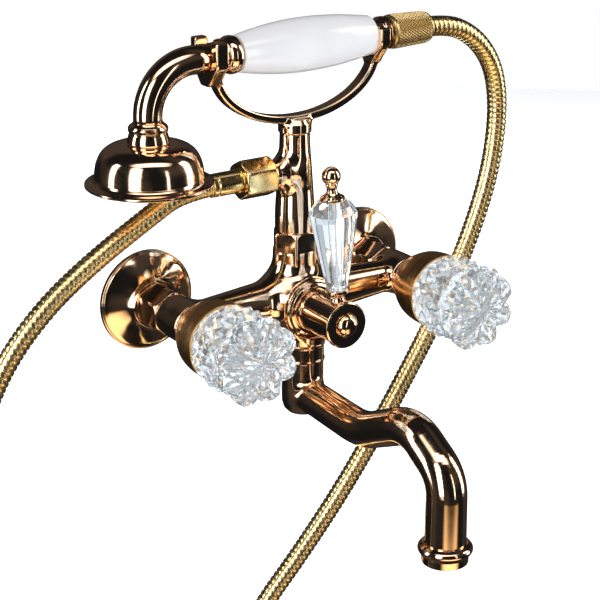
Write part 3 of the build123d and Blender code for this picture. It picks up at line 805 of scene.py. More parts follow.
def material(slot):
    """The finish of one of the record's material slots, made once."""
    if slot not in MATERIALS:
        plating = settings("plating")
        makers = {
            "rose_gold": lambda: mirror_plating("rose_gold_mirror", tuple(plating.rose)),
            "brushed_gold": lambda: turned_satin("satin_rose_gold", tuple(plating.satin)),
            "yellow_gold": lambda: gold_plating("yellow_gold", tuple(plating.yellow)),
            "satin_yellow_gold": lambda: gold_plating(
                "satin_yellow_gold", shade(plating.yellow, 0.62), 0.3, 0.42
            ),
            "hose_gold": lambda: gold_plating("hose_strip_gold", tuple(plating.hose), 0.2, 0.32),
            "raw_brass": lambda: machined("machined_brass", (0.78, 0.58, 0.28), 0.25, 0.42),
            "steel": lambda: machined("stainless_steel", (0.62, 0.62, 0.63), 0.2, 0.36),
            "crystal": lambda: cut_crystal("lead_crystal"),
            "porcelain": lambda: white_glaze("glazed_porcelain"),
            "valve_ceramic": lambda: dull(
                "alumina", (0.80, 0.77, 0.70), (0.88, 0.86, 0.80), 400, 0.5
            ),
            "black_rubber": lambda: dull(
                "rubber", (0.012, 0.012, 0.013), (0.03, 0.03, 0.03), 250, 0.6
            ),
        }
        MATERIALS[slot] = makers[slot]()
    return MATERIALS[slot]


# Wall fittings -------------------------------------------------------------------------------


class FAUCET_OT_wall_fittings(bpy.types.Operator):
    """Makes the two bell-shaped wall flanges and the union nuts that meet them"""

    bl_idname = "faucet.wall_fittings"
    bl_label = "Wall Fittings"

    def execute(self, context):
        for side in SIDES:
            self.flange(side)
            self.union_nut(side)
        return {"FINISHED"}

    def flange(self, side):
        node = f"wall_flange_{side}"
        bell = smooth([(28.6, 3.5), (26.0, 4.6), (21.0, 7.4), (16.8, 10.4), (14.4, 12.8)])
        hollow = smooth([(14.8, 10.2), (20.0, 6.0), (25.5, 3.0), (28.0, 2.0)], 4)
        rim = [(28.0, 0.0), (29.9, 0.0, 0.5), (29.9, 3.0, 1.4), (28.9, 3.1, 0.2)]
        outline = [*bell, (14.2, 13.0), (10.7, 13.0), (10.7, 11.4), *hollow, *rim]
        piece = turned(f"flange_{side}", outline, out_axis(node), material("rose_gold"))
        stand_for(piece, node)

    def union_nut(self, side):
        node = f"union_nut_{side}"
        centre = middle_mm(node)
        low, high = -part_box(node)[1].y / MM, -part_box(node)[0].y / MM

        def field(p):
            p = p * np.array([1, -1, 1])
            return hexagon_field(p, (centre.x, 0, centre.z), 1, low, high, 12.0, 12.4, 3.0, 10.6)

        grid = settings("casting").fine_grid / MM
        piece = cast(f"nut_{side}", field, *corners_mm(node), grid, material("rose_gold"))
        stand_for(piece, node)


# Casting -------------------------------------------------------------------------------------


class FAUCET_OT_casting(bpy.types.Operator):
    """Makes the body casting, whose arms, housings, boss and neck flow into one another"""

    bl_idname = "faucet.casting"
    bl_label = "Body Casting"

    ARM_RADII = (14.6, 8.8)  # at the body's middle and at the valve
    BOSS_FACE = 60  # how far out of the wall the diverter's boss ends
    BOSS_ROOM_R = 17.6
    NUT_FRONT = 33.3
    NUT_ROOM_R = 14.6
    # (distance out of the wall, radius) of the stub that the union nut holds.
    STUB = [(24.1, 10.3), (27.1, 10.3), (27.2, 8.8), (36, 8.8)]

    def execute(self, context):
        low, high = corners_mm("mixer_body")
        column = middle_mm("column_nut")
        hub = middle_mm("diverter_hub")
        spout = middle_mm("spout_collar")
        valves = [middle_mm(f"valve_bonnet_{side}") for side in SIDES]
        foot, top = low.z, high.z

        def field(p):
            centre = [(-16, 12.6), (-8, 16.0), (0, 17.0), (8, 15.6), (15, 13.2), (top, 12.9)]
            shape = turned_field(p, column, 2, centre, 1.0)
            for valve in valves:
                arm = taper_field(p, (0, column.y, 0), (valve.x, column.y, valve.z), *self.ARM_RADII)
                shape = blend(shape, arm, 13.0)
            out = p * np.array([1, -1, 1])
            boss = [(38, 14.2), (52, 16.2), (self.BOSS_FACE, 16.4)]
            shape = blend(shape, turned_field(out, (hub.x, 0, hub.z), 1, boss, 0.9), 8.0)
            neck = turned_field(p, spout, 2, [(foot, 12.9), (-4, 12.9)], 0.8)
            shape = blend(shape, neck, 8.0)
            for valve in valves:
                at = (valve.x, 0, valve.z)
                housing = turned_field(out, at, 1, [(self.NUT_FRONT, 12.4), (56, 12.4)], 1.0)
                shape = blend(shape, housing, 5.0)
                from_axis = np.hypot(p[..., 0] - valve.x, p[..., 2] - valve.z)
                nut_room = np.maximum(from_axis - self.NUT_ROOM_R, out[..., 1] - self.NUT_FRONT)
                shape = cut(shape, nut_room, 0.5)
                shape = np.minimum(shape, turned_field(out, at, 1, self.STUB, 0.3))
            face = np.hypot(p[..., 0] - hub.x, p[..., 2] - hub.z) - self.BOSS_ROOM_R
            in_front = np.maximum(face, self.BOSS_FACE - out[..., 1])
            return cut(shape, in_front, 0.5)

        grid = settings("casting").grid / MM
        piece = cast("body_casting", field, low, high, grid, material("rose_gold"))
        stand_for(piece, "mixer_body")
        return {"FINISHED"}


# Valve trims ---------------------------------------------------------------------------------


class FAUCET_OT_valve_trims(bpy.types.Operator):
    """Makes the flared bonnets and the satin cups behind the crystal knobs"""

    bl_idname = "faucet.valve_trims"
    bl_label = "Valve Trims"

    def execute(self, context):
        for side in SIDES:
            node = f"valve_bonnet_{side}"
            flare = smooth([(12.4, 56.1), (12.8, 58.3), (14.1, 60.5), (15.9, 61.8)])
            outline = [(7.1, 56.1), *flare, (15.9, 62.5), (7.1, 62.5)]
            piece = turned(f"bonnet_{side}", outline, out_axis(node), material("rose_gold"))
            stand_for(piece, node)
            node = f"handle_cup_{side}"
            bowl = smooth([(16.3, 63.2), (18.6, 67.0), (20.9, 72.5), (22.0, 79.0), (22.3, 87.4)])
            inside = [(20.9, 88.0), (20.9, 80.0), (4.06, 80.0), (4.06, 63.2)]
            outline = [*bowl, (22.2, 88.0, 0.2), *inside]
            piece = turned(f"cup_{side}", outline, out_axis(node), material("brushed_gold"))
            stand_for(piece, node)
        return {"FINISHED"}


# Crystal knobs -------------------------------------------------------------------------------


class FAUCET_OT_crystal_knobs(bpy.types.Operator):
    """Cuts the crystal knobs: rows of diamonds round the body and a rosette of petals in front"""

    bl_idname = "faucet.crystal_knobs"
    bl_label = "Crystal Knobs"

    # (height, radius) of the knob's body, and (tip radius, notch radius, tip height, notch height)
    # of the rings that carry the petals, from the waist forward.
    BODY = [(88.6, 21.4), (93.0, 23.2), (97.6, 24.1), (102.2, 24.0), (106.8, 22.8)]
    WAIST = (111.5, 21.2)
    ROSETTE = [
        (22.6, 21.0, 114.4, 113.6),
        (25.1, 21.9, 118.2, 116.6),
        (25.6, 22.0, 122.2, 119.4),
        (23.6, 19.6, 126.0, 122.6),
        (18.4, 16.2, 128.3, 124.6),
        (12.2, 12.2, 125.6, 128.4),
        (6.6, 6.6, 128.0, 125.8),
    ]
    COLUMNS_PER_PETAL = 6
    # (radius, height) of the insert's bore, the flat back and the plain belt inside the cup.
    BACK = [(5.1, 104.2), (5.1, 83.6), (20.8, 83.6), (20.8, 88.0)]
    STAR_CENTRE = 127.6
    RIDGE = 0.45  # height of the small facets across each petal
    WANDER = 0.22  # share of a diamond by which its peak strays from the middle

    def execute(self, context):
        for side in SIDES:
            node = f"crystal_knob_{side}"
            self.points, self.faces = [], []
            self.axis = out_axis(node)
            back = self.back_rings()
            waist = self.diamonds(back)
            self.rosette(waist)
            name = f"knob_{side}"
            piece = piece_from(name, self.points, self.faces, material("crystal"), flat=True)
            stand_for(piece, node)
        return {"FINISHED"}

    def point(self, radius, angle, height):
        self.points.append(beside(self.axis, radius, angle, height))
        return len(self.points) - 1

    def ring(self, radius, height, count, phase=0.0):
        return [self.point(radius, TURN * (j + phase) / count, height) for j in range(count)]

    def bridge(self, low, high):
        count = len(low)
        for j in range(count):
            onward = (j + 1) % count
            self.faces.append([low[j], low[onward], high[onward], high[j]])

    def back_rings(self):
        """The bore for the insert's boss, the flat back and the belt."""
        count = settings("crystal").body_facets
        rings = [self.ring(radius, height, count) for radius, height in self.BACK]
        for low, high in zip(rings, rings[1:]):
            self.bridge(low, high)
        self.faces.append(rings[0])
        return rings[-1]

    def diamonds(self, belt):
        """Rows of raised diamonds. Odd rows of valley points stand half a step on."""
        cuts = settings("crystal")
        count = cuts.body_facets
        depth = cuts.cut_depth / MM
        rows = [belt]
        for index, (height, radius) in enumerate(self.BODY):
            rows.append(self.ring(radius - depth / 2, height, count, 0.5 * ((index + 1) % 2)))
        rows.append(self.ring(self.WAIST[1], self.WAIST[0], count, 0.5 * (len(rows) % 2)))
        for index in range(1, len(rows) - 1):
            odd = index % 2
            height, radius = self.BODY[index - 1]
            for j in range(count):
                left, right = rows[index][j], rows[index][(j + 1) % count]
                between = (j + odd) % count
                below, above = rows[index - 1][between], rows[index + 1][between]
                wander = self.WANDER * math.sin(2.4 * j + 4.1 * index)
                around = TURN * (j + 0.5 + 0.5 * odd + wander) / count
                peak_r = radius + depth * (0.5 - abs(wander))
                peak = self.point(peak_r, around, height + 3 * wander)
                for pair in ((below, left), (left, above), (above, right), (right, below)):
                    self.faces.append([*pair, peak])
        self.close_row(rows[0], rows[1], 0)
        self.close_row(rows[-2], rows[-1], (len(rows) - 2) % 2)
        return rows[-1]

    def close_row(self, low, high, odd):
        """The triangles left at the first and last rows."""
        count = len(low)
        for j in range(count):
            onward = (j + 1) % count
            if odd == 0:
                self.faces.append([low[j], low[onward], high[j]])
            else:
                self.faces.append([high[j], high[onward], low[j]])

    def rosette(self, waist):
        """The petals: rounded tips with deep notches, and a star cut inside them."""
        cuts = settings("crystal")
        count = cuts.petals * self.COLUMNS_PER_PETAL
        rings = [self.ring(self.WAIST[1], self.WAIST[0], count)]
        for tip_r, notch_r, tip_h, notch_h in self.ROSETTE:
            ring = []
            for j in range(count):
                across = abs(2 * ((j / self.COLUMNS_PER_PETAL) % 1) - 1)
                petal = math.sqrt(1 - across**2)
                ridge = self.RIDGE * (-1) ** (j + len(rings))
                radius = notch_r + (tip_r - notch_r) * petal - abs(ridge)
                height = notch_h + (tip_h - notch_h) * (1 - across) + ridge
                ring.append(self.point(radius, TURN * j / count, height))
            rings.append(ring)
        for low, high in zip(rings, rings[1:]):
            for j in range(count):
                onward = (j + 1) % count
                if j % 2:
                    self.faces.append([low[j], low[onward], high[onward]])
                    self.faces.append([low[j], high[onward], high[j]])
                else:
                    self.faces.append([low[j], low[onward], high[j]])
                    self.faces.append([low[onward], high[onward], high[j]])
        centre = self.point(0, 0, self.STAR_CENTRE)
        for j in range(count):
            self.faces.append([rings[-1][j], rings[-1][(j + 1) % count], centre])
        self.join_waist(waist, rings[0])

    def join_waist(self, body, rosette):
        """A flat ring of triangles from the body's last row to the rosette's first, by angle."""
        angles = []
        inverse = self.axis.inverted()
        for ring in (body, rosette):
            around = []
            for index in ring:
                local = inverse @ self.points[index]
                around.append((math.atan2(local.y, local.x) % TURN, index))
            angles.append(sorted(around))
        inner, outer = angles
        i = j = 0
        while i < len(inner) or j < len(outer):
            here_in, here_out = inner[i % len(inner)][1], outer[j % len(outer)][1]
            next_in = inner[(i + 1) % len(inner)][0] + TURN * ((i + 1) // len(inner))
            next_out = outer[(j + 1) % len(outer)][0] + TURN * ((j + 1) // len(outer))
            if (next_in < next_out and i < len(inner)) or j >= len(outer):
                self.faces.append([here_in, inner[(i + 1) % len(inner)][1], here_out])
                i += 1
            else:
                self.faces.append([here_in, outer[(j + 1) % len(outer)][1], here_out])
                j += 1


# Diverter and its lever ----------------------------------------------------------------------


class FAUCET_OT_diverter(bpy.types.Operator):
    """Makes the diverter's bonnet, hub and domed cap"""

    bl_idname = "faucet.diverter"
    bl_label = "Diverter"

    def execute(self, context):
        axis = out_axis("diverter_hub")
        rose = material("rose_gold")
        bonnet = [(10.1, 60.1), (16.6, 60.1), (17.4, 61.3, 0.6), (17.4, 62.9, 0.5)]
        bonnet += [(16.4, 63.6, 0.3), (15.6, 65.2, 0.5), (14.4, 66.0, 0.3), (10.1, 66.0)]
        stand_for(turned("diverter_ring", bonnet, axis, rose), "diverter_bonnet")
        hub = [(7.6, 66.5), (12.2, 66.5), (12.6, 67.2, 0.3), (12.6, 69.2, 0.2), (12.3, 69.5, 0.2)]
        hub += [(12.3, 70.3, 0.2), (12.6, 70.6, 0.2), (12.6, 94.6, 0.2), (13.6, 95.2, 0.2)]
        hub += [(13.6, 97.0, 0.4), (12.8, 97.6, 0.3), (7.2, 97.6, 0.1), (7.0, 97.3, 0.1)]
        hub += [(4.2, 97.3), (4.2, 86.4), (2.1, 86.4), (2.1, 84.1), (4.06, 84.1), (4.06, 76.0)]
        hub += [(7.6, 76.0)]
        stand_for(turned("hub", hub, axis, rose), "diverter_hub")
        dome = smooth([(6.5, 98.6), (6.0, 99.8), (4.4, 101.1), (2.2, 101.7), (0, 101.9)], 4)
        cap = [(0, 94.6), (4.1, 94.6), (4.1, 97.7), (6.5, 97.7, 0.2), *dome]
        stand_for(turned("cap", cap, axis, rose, steps=72), "hub_cap")
        return {"FINISHED"}


def lever_axis():
    """Heights run up the leaning lever, from the hub's axis."""
    hub, rod = middle("diverter_hub"), middle("lever_rod")
    root = Vector((hub.x, rod.y, hub.z))
    return axis_frame(root, (rod - root).normalized())


class FAUCET_OT_lever(bpy.types.Operator):
    """Makes the lever: its stem, the faceted crystal and the finial with its ball"""

    bl_idname = "faucet.lever"
    bl_label = "Lever"

    # (height, radius) of the crystal's faceted rings, and of the bore for its rod.
    RINGS = [(20.8, 5.4), (21.6, 6.3), (63.0, 13.4), (66.4, 13.5), (70.6, 10.8), (73.4, 7.4)]
    BORE_R = 1.7

    def execute(self, context):
        axis = lever_axis()
        rose = material("rose_gold")
        stem = [(0, 5.4), (3.0, 5.4), (3.0, 12.2), (4.6, 12.8, 0.3), (4.6, 13.8, 0.3)]
        stem += smooth([(3.9, 14.9), (3.8, 16.2), (5.0, 17.8), (6.9, 18.7)], 5)
        stem += [(7.0, 19.0, 0.2), (7.0, 20.7, 0.3), (1.65, 20.7), (1.65, 11.9), (0, 11.9)]
        stand_for(turned("stem", stem, axis, rose, steps=72), "lever_stem")
        self.crystal(axis)
        ball = arc(0, 87.0, 5.4, -50, 88, 16)
        finial = [(1.65, 73.5), (7.0, 73.5, 0.3), (7.0, 74.8, 0.4)]
        finial += smooth([(5.0, 76.0), (3.4, 77.6), (3.0, 79.4), (3.0, 81.0)], 4)
        finial += [(3.5, 81.4, 0.2), (3.6, 82.3, 0.2), *ball, (0, 92.4), (0, 78.1), (1.65, 78.1)]
        stand_for(turned("finial", finial, axis, rose, steps=72), "lever_finial")
        return {"FINISHED"}

    def crystal(self, axis):
        count = settings("crystal").lever_facets
        outline = [*self.RINGS, (self.RINGS[-1][0], self.BORE_R), (self.RINGS[0][0], self.BORE_R)]
        points, faces = [], []
        for height, radius in outline:
            points += [beside(axis, radius, TURN * (j + 0.25) / count, height) for j in range(count)]
        for i in range(len(outline)):
            low, high = i * count, (i + 1) % len(outline) * count
            for j in range(count):
                onward = (j + 1) % count
                faces.append([low + j, low + onward, high + onward, high + j])
        piece = piece_from("lever_glass", points, faces, material("crystal"), flat=True)
        stand_for(piece, "lever_crystal")


# Spout ---------------------------------------------------------------------------------------


def bent_line(points, radii, step=2.0):
    """Points along straight runs joined by arcs, in the plane of the given points."""
    line = [Vector(points[0])]
    for before, corner, after, radius in zip(points, points[1:], points[2:], radii):
        corner = Vector(corner)
        back = (Vector(before) - corner).normalized()
        onward = (Vector(after) - corner).normalized()
        half = (math.pi - back.angle(onward)) / 2
        start = corner + back * radius * math.tan(half)
        end = corner + onward * radius * math.tan(half)
        centre = corner + (back + onward).normalized() * radius / math.cos(half)
        count = max(4, math.ceil(2 * half * radius / step))
        for i in range(count + 1):
            t = i / count
            arm = (start - centre).slerp(end - centre, t)
            line.append(centre + arm.normalized() * radius)
    line.append(Vector(points[-1]))
    return line


class FAUCET_OT_spout(bpy.types.Operator):
    """Makes the collar under the body, the S-shaped spout and its end ring"""

    bl_idname = "faucet.spout"
    bl_label = "Spout"

    # The spout's line as (distance out of the wall, height), with a bend radius at each corner.
    LINE = [(53.0, -57.0), (115.0, -60.5), (160.0, -40.5), (191.5, -60.0), (191.5, -100.0)]
    BENDS = [50.0, 24.0, 20.0]
    START_R = 9.9
    END_R = 11.5
    MOUTH_FROM = 170
    # (height, radius) of the round foot under the collar.
    STUMP = [(-71.0, 2.0), (-70.6, 5.0), (-69.2, 8.6), (-66.5, 11.2), (-62.5, 12.3)]

    def execute(self, context):
        rose = material("rose_gold")
        collar = [(8.1, -25.1), (13.3, -25.1, 0.3), (13.3, -26.4, 0.4), (12.6, -27.2, 0.4)]
        collar += [(12.6, -34.6, 0.4), (13.1, -35.3, 0.3), (13.1, -36.5, 0.3), (8.1, -36.5)]
        stand_for(turned("collar", collar, up_axis("spout_collar"), rose), "spout_collar")
        self.tube(rose)
        ring = [(11.6, -98.0), (12.4, -98.0, 0.3), *arc(12.2, -101.4, 3.0, 62, -62, 10)]
        ring += [(13.0, -105.2, 0.2), (12.8, -109.5, 0.5), (10.6, -109.5), (10.6, -100.2)]
        ring += [(11.6, -100.2)]
        stand_for(turned("end_ring", ring, up_axis("spout_end_ring"), rose), "spout_end_ring")
        return {"FINISHED"}

    def tube(self, rose):
        low, high = corners_mm("spout")
        root = middle_mm("spout_collar")
        line = bent_line([(0, -out, height) for out, height in self.LINE], self.BENDS)
        runs = [(a, b) for a, b in zip(line, line[1:]) if (b - a).length > 1e-6]
        lengths = np.cumsum([0] + [(b - a).length for a, b in runs])
        radii = self.START_R + (self.END_R - self.START_R) * lengths / lengths[-1]

        def field(p):
            along = None
            for (start, end), start_r, end_r in zip(runs, radii, radii[1:]):
                part = taper_field(p, start, end, start_r, end_r)
                along = part if along is None else np.minimum(along, part)
            # The mouth is cut flat. The cut is moved far off for the rest of the spout.
            elsewhere = p[..., 1] > -self.MOUTH_FROM
            mouth = self.LINE[-1][1] - p[..., 2] - 1000 * elsewhere
            stump = turned_field(p, root, 2, [*self.STUMP, (high.z, 12.4)], 0.6)
            return blend(stump, common(along, mouth, 0.5), 3.5)

        grid = settings("casting").grid / MM
        stand_for(cast("spout_tube", field, low, high, grid, rose), "spout")


# Column, tee and cradle ----------------------------------------------------------------------


class FAUCET_OT_column(bpy.types.Operator):
    """Makes the column's nut, the riser with its tee, and the hose's nut and ferrule"""

    bl_idname = "faucet.column"
    bl_label = "Column"

    def execute(self, context):
        hexagon_nut("column_nut", "column_hexagon", 2, 12.0, 12.5, 3.2, 9.4, "rose_gold")
        hexagon_nut("hose_inlet_nut", "tee_hexagon", 0, 10.22, 10.5, 2.2, 6.9, "yellow_gold")
        self.riser()
        ferrule = [(6.05, -57.0), (6.75, -57.0, 0.3), (6.75, -54.6, 0.2), (6.4, -54.3, 0.2)]
        ferrule += [(6.4, -53.6, 0.2), (6.75, -53.3, 0.2), (6.75, -33.3), (7.8, -33.3)]
        ferrule += [(7.8, -31.7), (3.4, -31.7), (3.4, -50), (6.05, -50)]
        axis = along_axis("hose_inlet_ferrule")
        piece = turned("tee_ferrule", ferrule, axis, material("yellow_gold"), steps=72)
        stand_for(piece, "hose_inlet_ferrule")
        return {"FINISHED"}

    def riser(self):
        low, high = corners_mm("riser_column")
        column = middle_mm("column_nut")
        tee = middle_mm("hose_inlet_nut")
        taper = [(41.2, 11.6), (50.0, 11.6), (58.0, 11.2), (76.0, 10.0), (90.0, 9.0), (98.9, 8.7)]
        foot = [(31.3, 10.3), (33.1, 10.3), (33.2, 9.1), (41.1, 9.1)]
        collar = [(-17.1, 8.1), (-14.0, 8.1), (-11.5, 8.8), (-9.0, 10.0), (0, 10.0)]

        def field(p):
            shape = turned_field(p, column, 2, foot + smooth(taper), 0.5)
            branch = turned_field(p, tee, 0, collar, 0.4)
            shape = blend(shape, branch, 5.0)
            spigot = turned_field(p, tee, 0, [(low.x, 7.9), (-10.0, 7.9)], 0.4)
            stub = turned_field(p, column, 2, [(90.0, 6.0), (high.z, 6.0)], 0.4)
            return np.minimum(np.minimum(shape, spigot), stub)

        grid = settings("casting").grid / MM
        stand_for(cast("riser", field, low, high, grid, material("rose_gold")), "riser_column")


class FAUCET_OT_cradle(bpy.types.Operator):
    """Makes the cradle: a flat bow on a boss, with a fork at each end"""

    bl_idname = "faucet.cradle"
    bl_label = "Cradle"

    CENTRE = (1.0, 140.0)  # of the bow's ellipse, as (x, z)
    HALF_SPAN = 53.5
    DROP = 33.0
    HALF_BAR = 2.3
    HALF_WIDTH = 4.2
    # (x, half width, saddle radius, top) of each fork.
    FORKS = [(-55.5, 3.9, 8.2, 158.5), (53.5, 3.4, 8.7, 154.0)]
    FORK_Z = 132.9
    SADDLE_Z = 148.8

    def execute(self, context):
        low, high = corners_mm("cradle")
        column = middle_mm("column_nut")

        def field(p):
            x, y, z = p[..., 0], p[..., 1] - column.y, p[..., 2]
            shape = self.bow(x, y, z)
            for fork_x, half_width, saddle_r, top in self.FORKS:
                fork = self.fork(x - fork_x, y, z, half_width, saddle_r, top)
                shape = blend(shape, fork, 2.0)
            boss = turned_field(p, column, 2, [(99.1, 9.6), (104.6, 9.6), (107.5, 7.6)], 0.8)
            return blend(shape, boss, 2.5)

        grid = settings("casting").fine_grid / MM
        piece = cast("cradle_bow", field, low, high, grid, material("rose_gold"))
        stand_for(piece, "cradle")
        return {"FINISHED"}

    def bow(self, x, y, z):
        """A flat bar along the lower half of an ellipse."""
        u, v = x - self.CENTRE[0], z - self.CENTRE[1]
        level = (u / self.HALF_SPAN) ** 2 + (v / self.DROP) ** 2
        slope = 2 * np.sqrt((u / self.HALF_SPAN**2) ** 2 + (v / self.DROP**2) ** 2)
        off = np.abs((level - 1) / np.maximum(slope, 1e-4)) - self.HALF_BAR
        bar = common(off, np.abs(y) - self.HALF_WIDTH, 1.6)
        return common(bar, v - 2.0, 1.0)

    def fork(self, x, y, z, half_width, saddle_r, top):
        """A block with tapered shoulders, a round saddle and a prong each side."""
        block = common(np.abs(y) - 13.9, np.maximum(z - top, self.FORK_Z - z), 1.2)
        block = common(block, np.abs(x) - half_width, 1.0)
        shoulder = (np.abs(y) - (4.6 + (z - self.FORK_Z) * 0.80)) * 0.78
        block = common(block, shoulder, 2.0)
        slot = np.maximum(np.abs(y) - saddle_r, self.SADDLE_Z - z)
        saddle = np.minimum(np.hypot(y, z - self.SADDLE_Z) - saddle_r, slot)
        return cut(block, saddle, 0.5)


# Hand shower ---------------------------------------------------------------------------------


class FAUCET_OT_hand_shower(bpy.types.Operator):
    """Makes the hand shower: spray head, collar, bent neck, ferrules and porcelain grip"""

    bl_idname = "faucet.hand_shower"
    bl_label = "Hand Shower"

    NECK_R = 8.0
    NECK_BEND_R = 28.0

    def execute(self, context):
        rose = material("rose_gold")
        self.neck(rose)
        self.head(rose)
        self.grip(rose)
        self.nozzles()
        return {"FINISHED"}

    def neck(self, rose):
        low, high = corners_mm("neck_elbow")
        head, grip = middle_mm("head_collar"), middle_mm("porcelain_grip")
        corners = [(high.x, grip.y, grip.z), (head.x, head.y, grip.z), (head.x, head.y, low.z)]
        line = [p * MM for p in bent_line(corners, [self.NECK_BEND_R], 1.0)]
        radii = [self.NECK_R * MM] * len(line)
        stand_for(tube_along("neck", line, radii, rose, 96), "neck_elbow")

    def head(self, rose):
        axis = up_axis("spray_head")
        collar = [(5.6, 106.6), (11.3, 106.6, 0.4), (11.7, 107.6, 0.5), (11.4, 109.4, 0.4)]
        collar += [(10.6, 112.0, 0.4), (10.2, 112.8, 0.2), (10.9, 113.5, 0.5), (11.1, 115.3, 0.7)]
        collar += [(10.3, 116.6, 0.5), (8.9, 117.6, 0.3), (8.4, 118.2, 0.2), (8.1, 118.2)]
        collar += [(8.1, 113.4), (5.6, 113.4)]
        stand_for(turned("head_rings", collar, axis, rose), "head_collar")
        dome = [(11.0, 106.5), (17.0, 106.2), (22.6, 104.4), (26.6, 100.9), (28.9, 96.0)]
        dome = smooth([*dome, (29.8, 91.6), (30.2, 88.2)], 9)
        lip = smooth([(30.2, 88.2), (31.6, 86.4), (34.6, 85.2)], 5)
        inside = smooth([(32.4, 85.2), (28.8, 87.8), (27.4, 94.4), (22.5, 101.8), (11.0, 104.6)], 4)
        outline = [*dome, *lip[1:], (35.5, 84.8, 0.3), (35.5, 83.4, 0.4), (33.0, 83.4)]
        outline += [*inside, (5.7, 104.6), (5.7, 106.5)]
        stand_for(turned("head_shell", outline, axis, rose), "spray_head")

    def grip(self, rose):
        axis = along_axis("porcelain_grip")
        left = [(5.1, -50.1), (9.4, -50.1, 0.3), (9.6, -49.0), (9.4, -47.6), (8.8, -46.8, 0.2)]
        bead = [(9.6, -46.0), (10.5, -44.4), (10.7, -42.4), (10.3, -40.2), (9.4, -38.8)]
        left += smooth(bead, 4)
        left += [(5.1, -38.7)]
        stand_for(turned("grip_cap_left", left, axis, rose), "ferrule_left")
        belly = [(10.4, -38.2), (12.8, -25), (14.6, -10), (15.2, 3), (15.0, 16), (14.0, 30)]
        belly = smooth([*belly, (12.4, 42), (11.2, 50.0)], 6)
        outline = [(9.9, -38.6, 0.3), *belly, (10.9, 50.4, 0.3), (5.2, 50.4), (5.2, -38.6)]
        piece = turned("grip", outline, axis, material("porcelain"), steps=128)
        stand_for(piece, "porcelain_grip")
        right = [(5.1, 50.5), (8.9, 50.5, 0.3), (9.1, 52.0, 0.4), (8.5, 53.4, 0.4), (8.5, 57.0, 0.4)]
        right += [(9.6, 58.0, 0.4), (9.6, 61.2, 0.4), (8.4, 62.2, 0.3), (7.0, 62.4), (7.0, 69.8)]
        right += [(5.1, 69.8)]
        stand_for(turned("grip_cap_right", right, axis, rose), "ferrule_right")

    def nozzles(self):
        """Soft spray nozzles on rings across the plate's underside."""
        inputs = {
            "Ring Gap": ("NodeSocketFloat", 0.0062),
            "Nozzle Radius": ("NodeSocketFloat", 0.0011),
            "Nozzle Length": ("NodeSocketFloat", 0.0011),
        }
        tree = Tree("spray_nozzles", inputs)
        cone = tree.add(
            "GeometryNodeMeshCone",
            {
                "Vertices": 12,
                "Radius Top": tree.math("MULTIPLY", "Nozzle Radius", 0.55),
                "Radius Bottom": "Nozzle Radius",
                "Depth": "Nozzle Length",
            },
        )
        rings = tree.add("GeometryNodeJoinGeometry")
        for index in range(1, 5):
            circle = tree.add(
                "GeometryNodeMeshCircle",
                {"Vertices": 7 * index, "Radius": tree.math("MULTIPLY", "Ring Gap", index)},
            )
            tree.tree.links.new(circle.outputs[0], rings.inputs[0])
        spread = tree.add(
            "GeometryNodeInstanceOnPoints",
            {"Points": rings.outputs[0], "Instance": cone.outputs[0]},
        )
        tree.finish(spread.outputs[0], material("black_rubber"))
        low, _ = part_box("spray_plate")
        centre = middle("spray_plate")
        axis = axis_frame(Vector((centre.x, centre.y, low.z + 0.0002)), -UP)
        piece = grown("spray_nozzles", tree, material("black_rubber"), axis)
        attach(piece, "handset")


# Hose ----------------------------------------------------------------------------------------


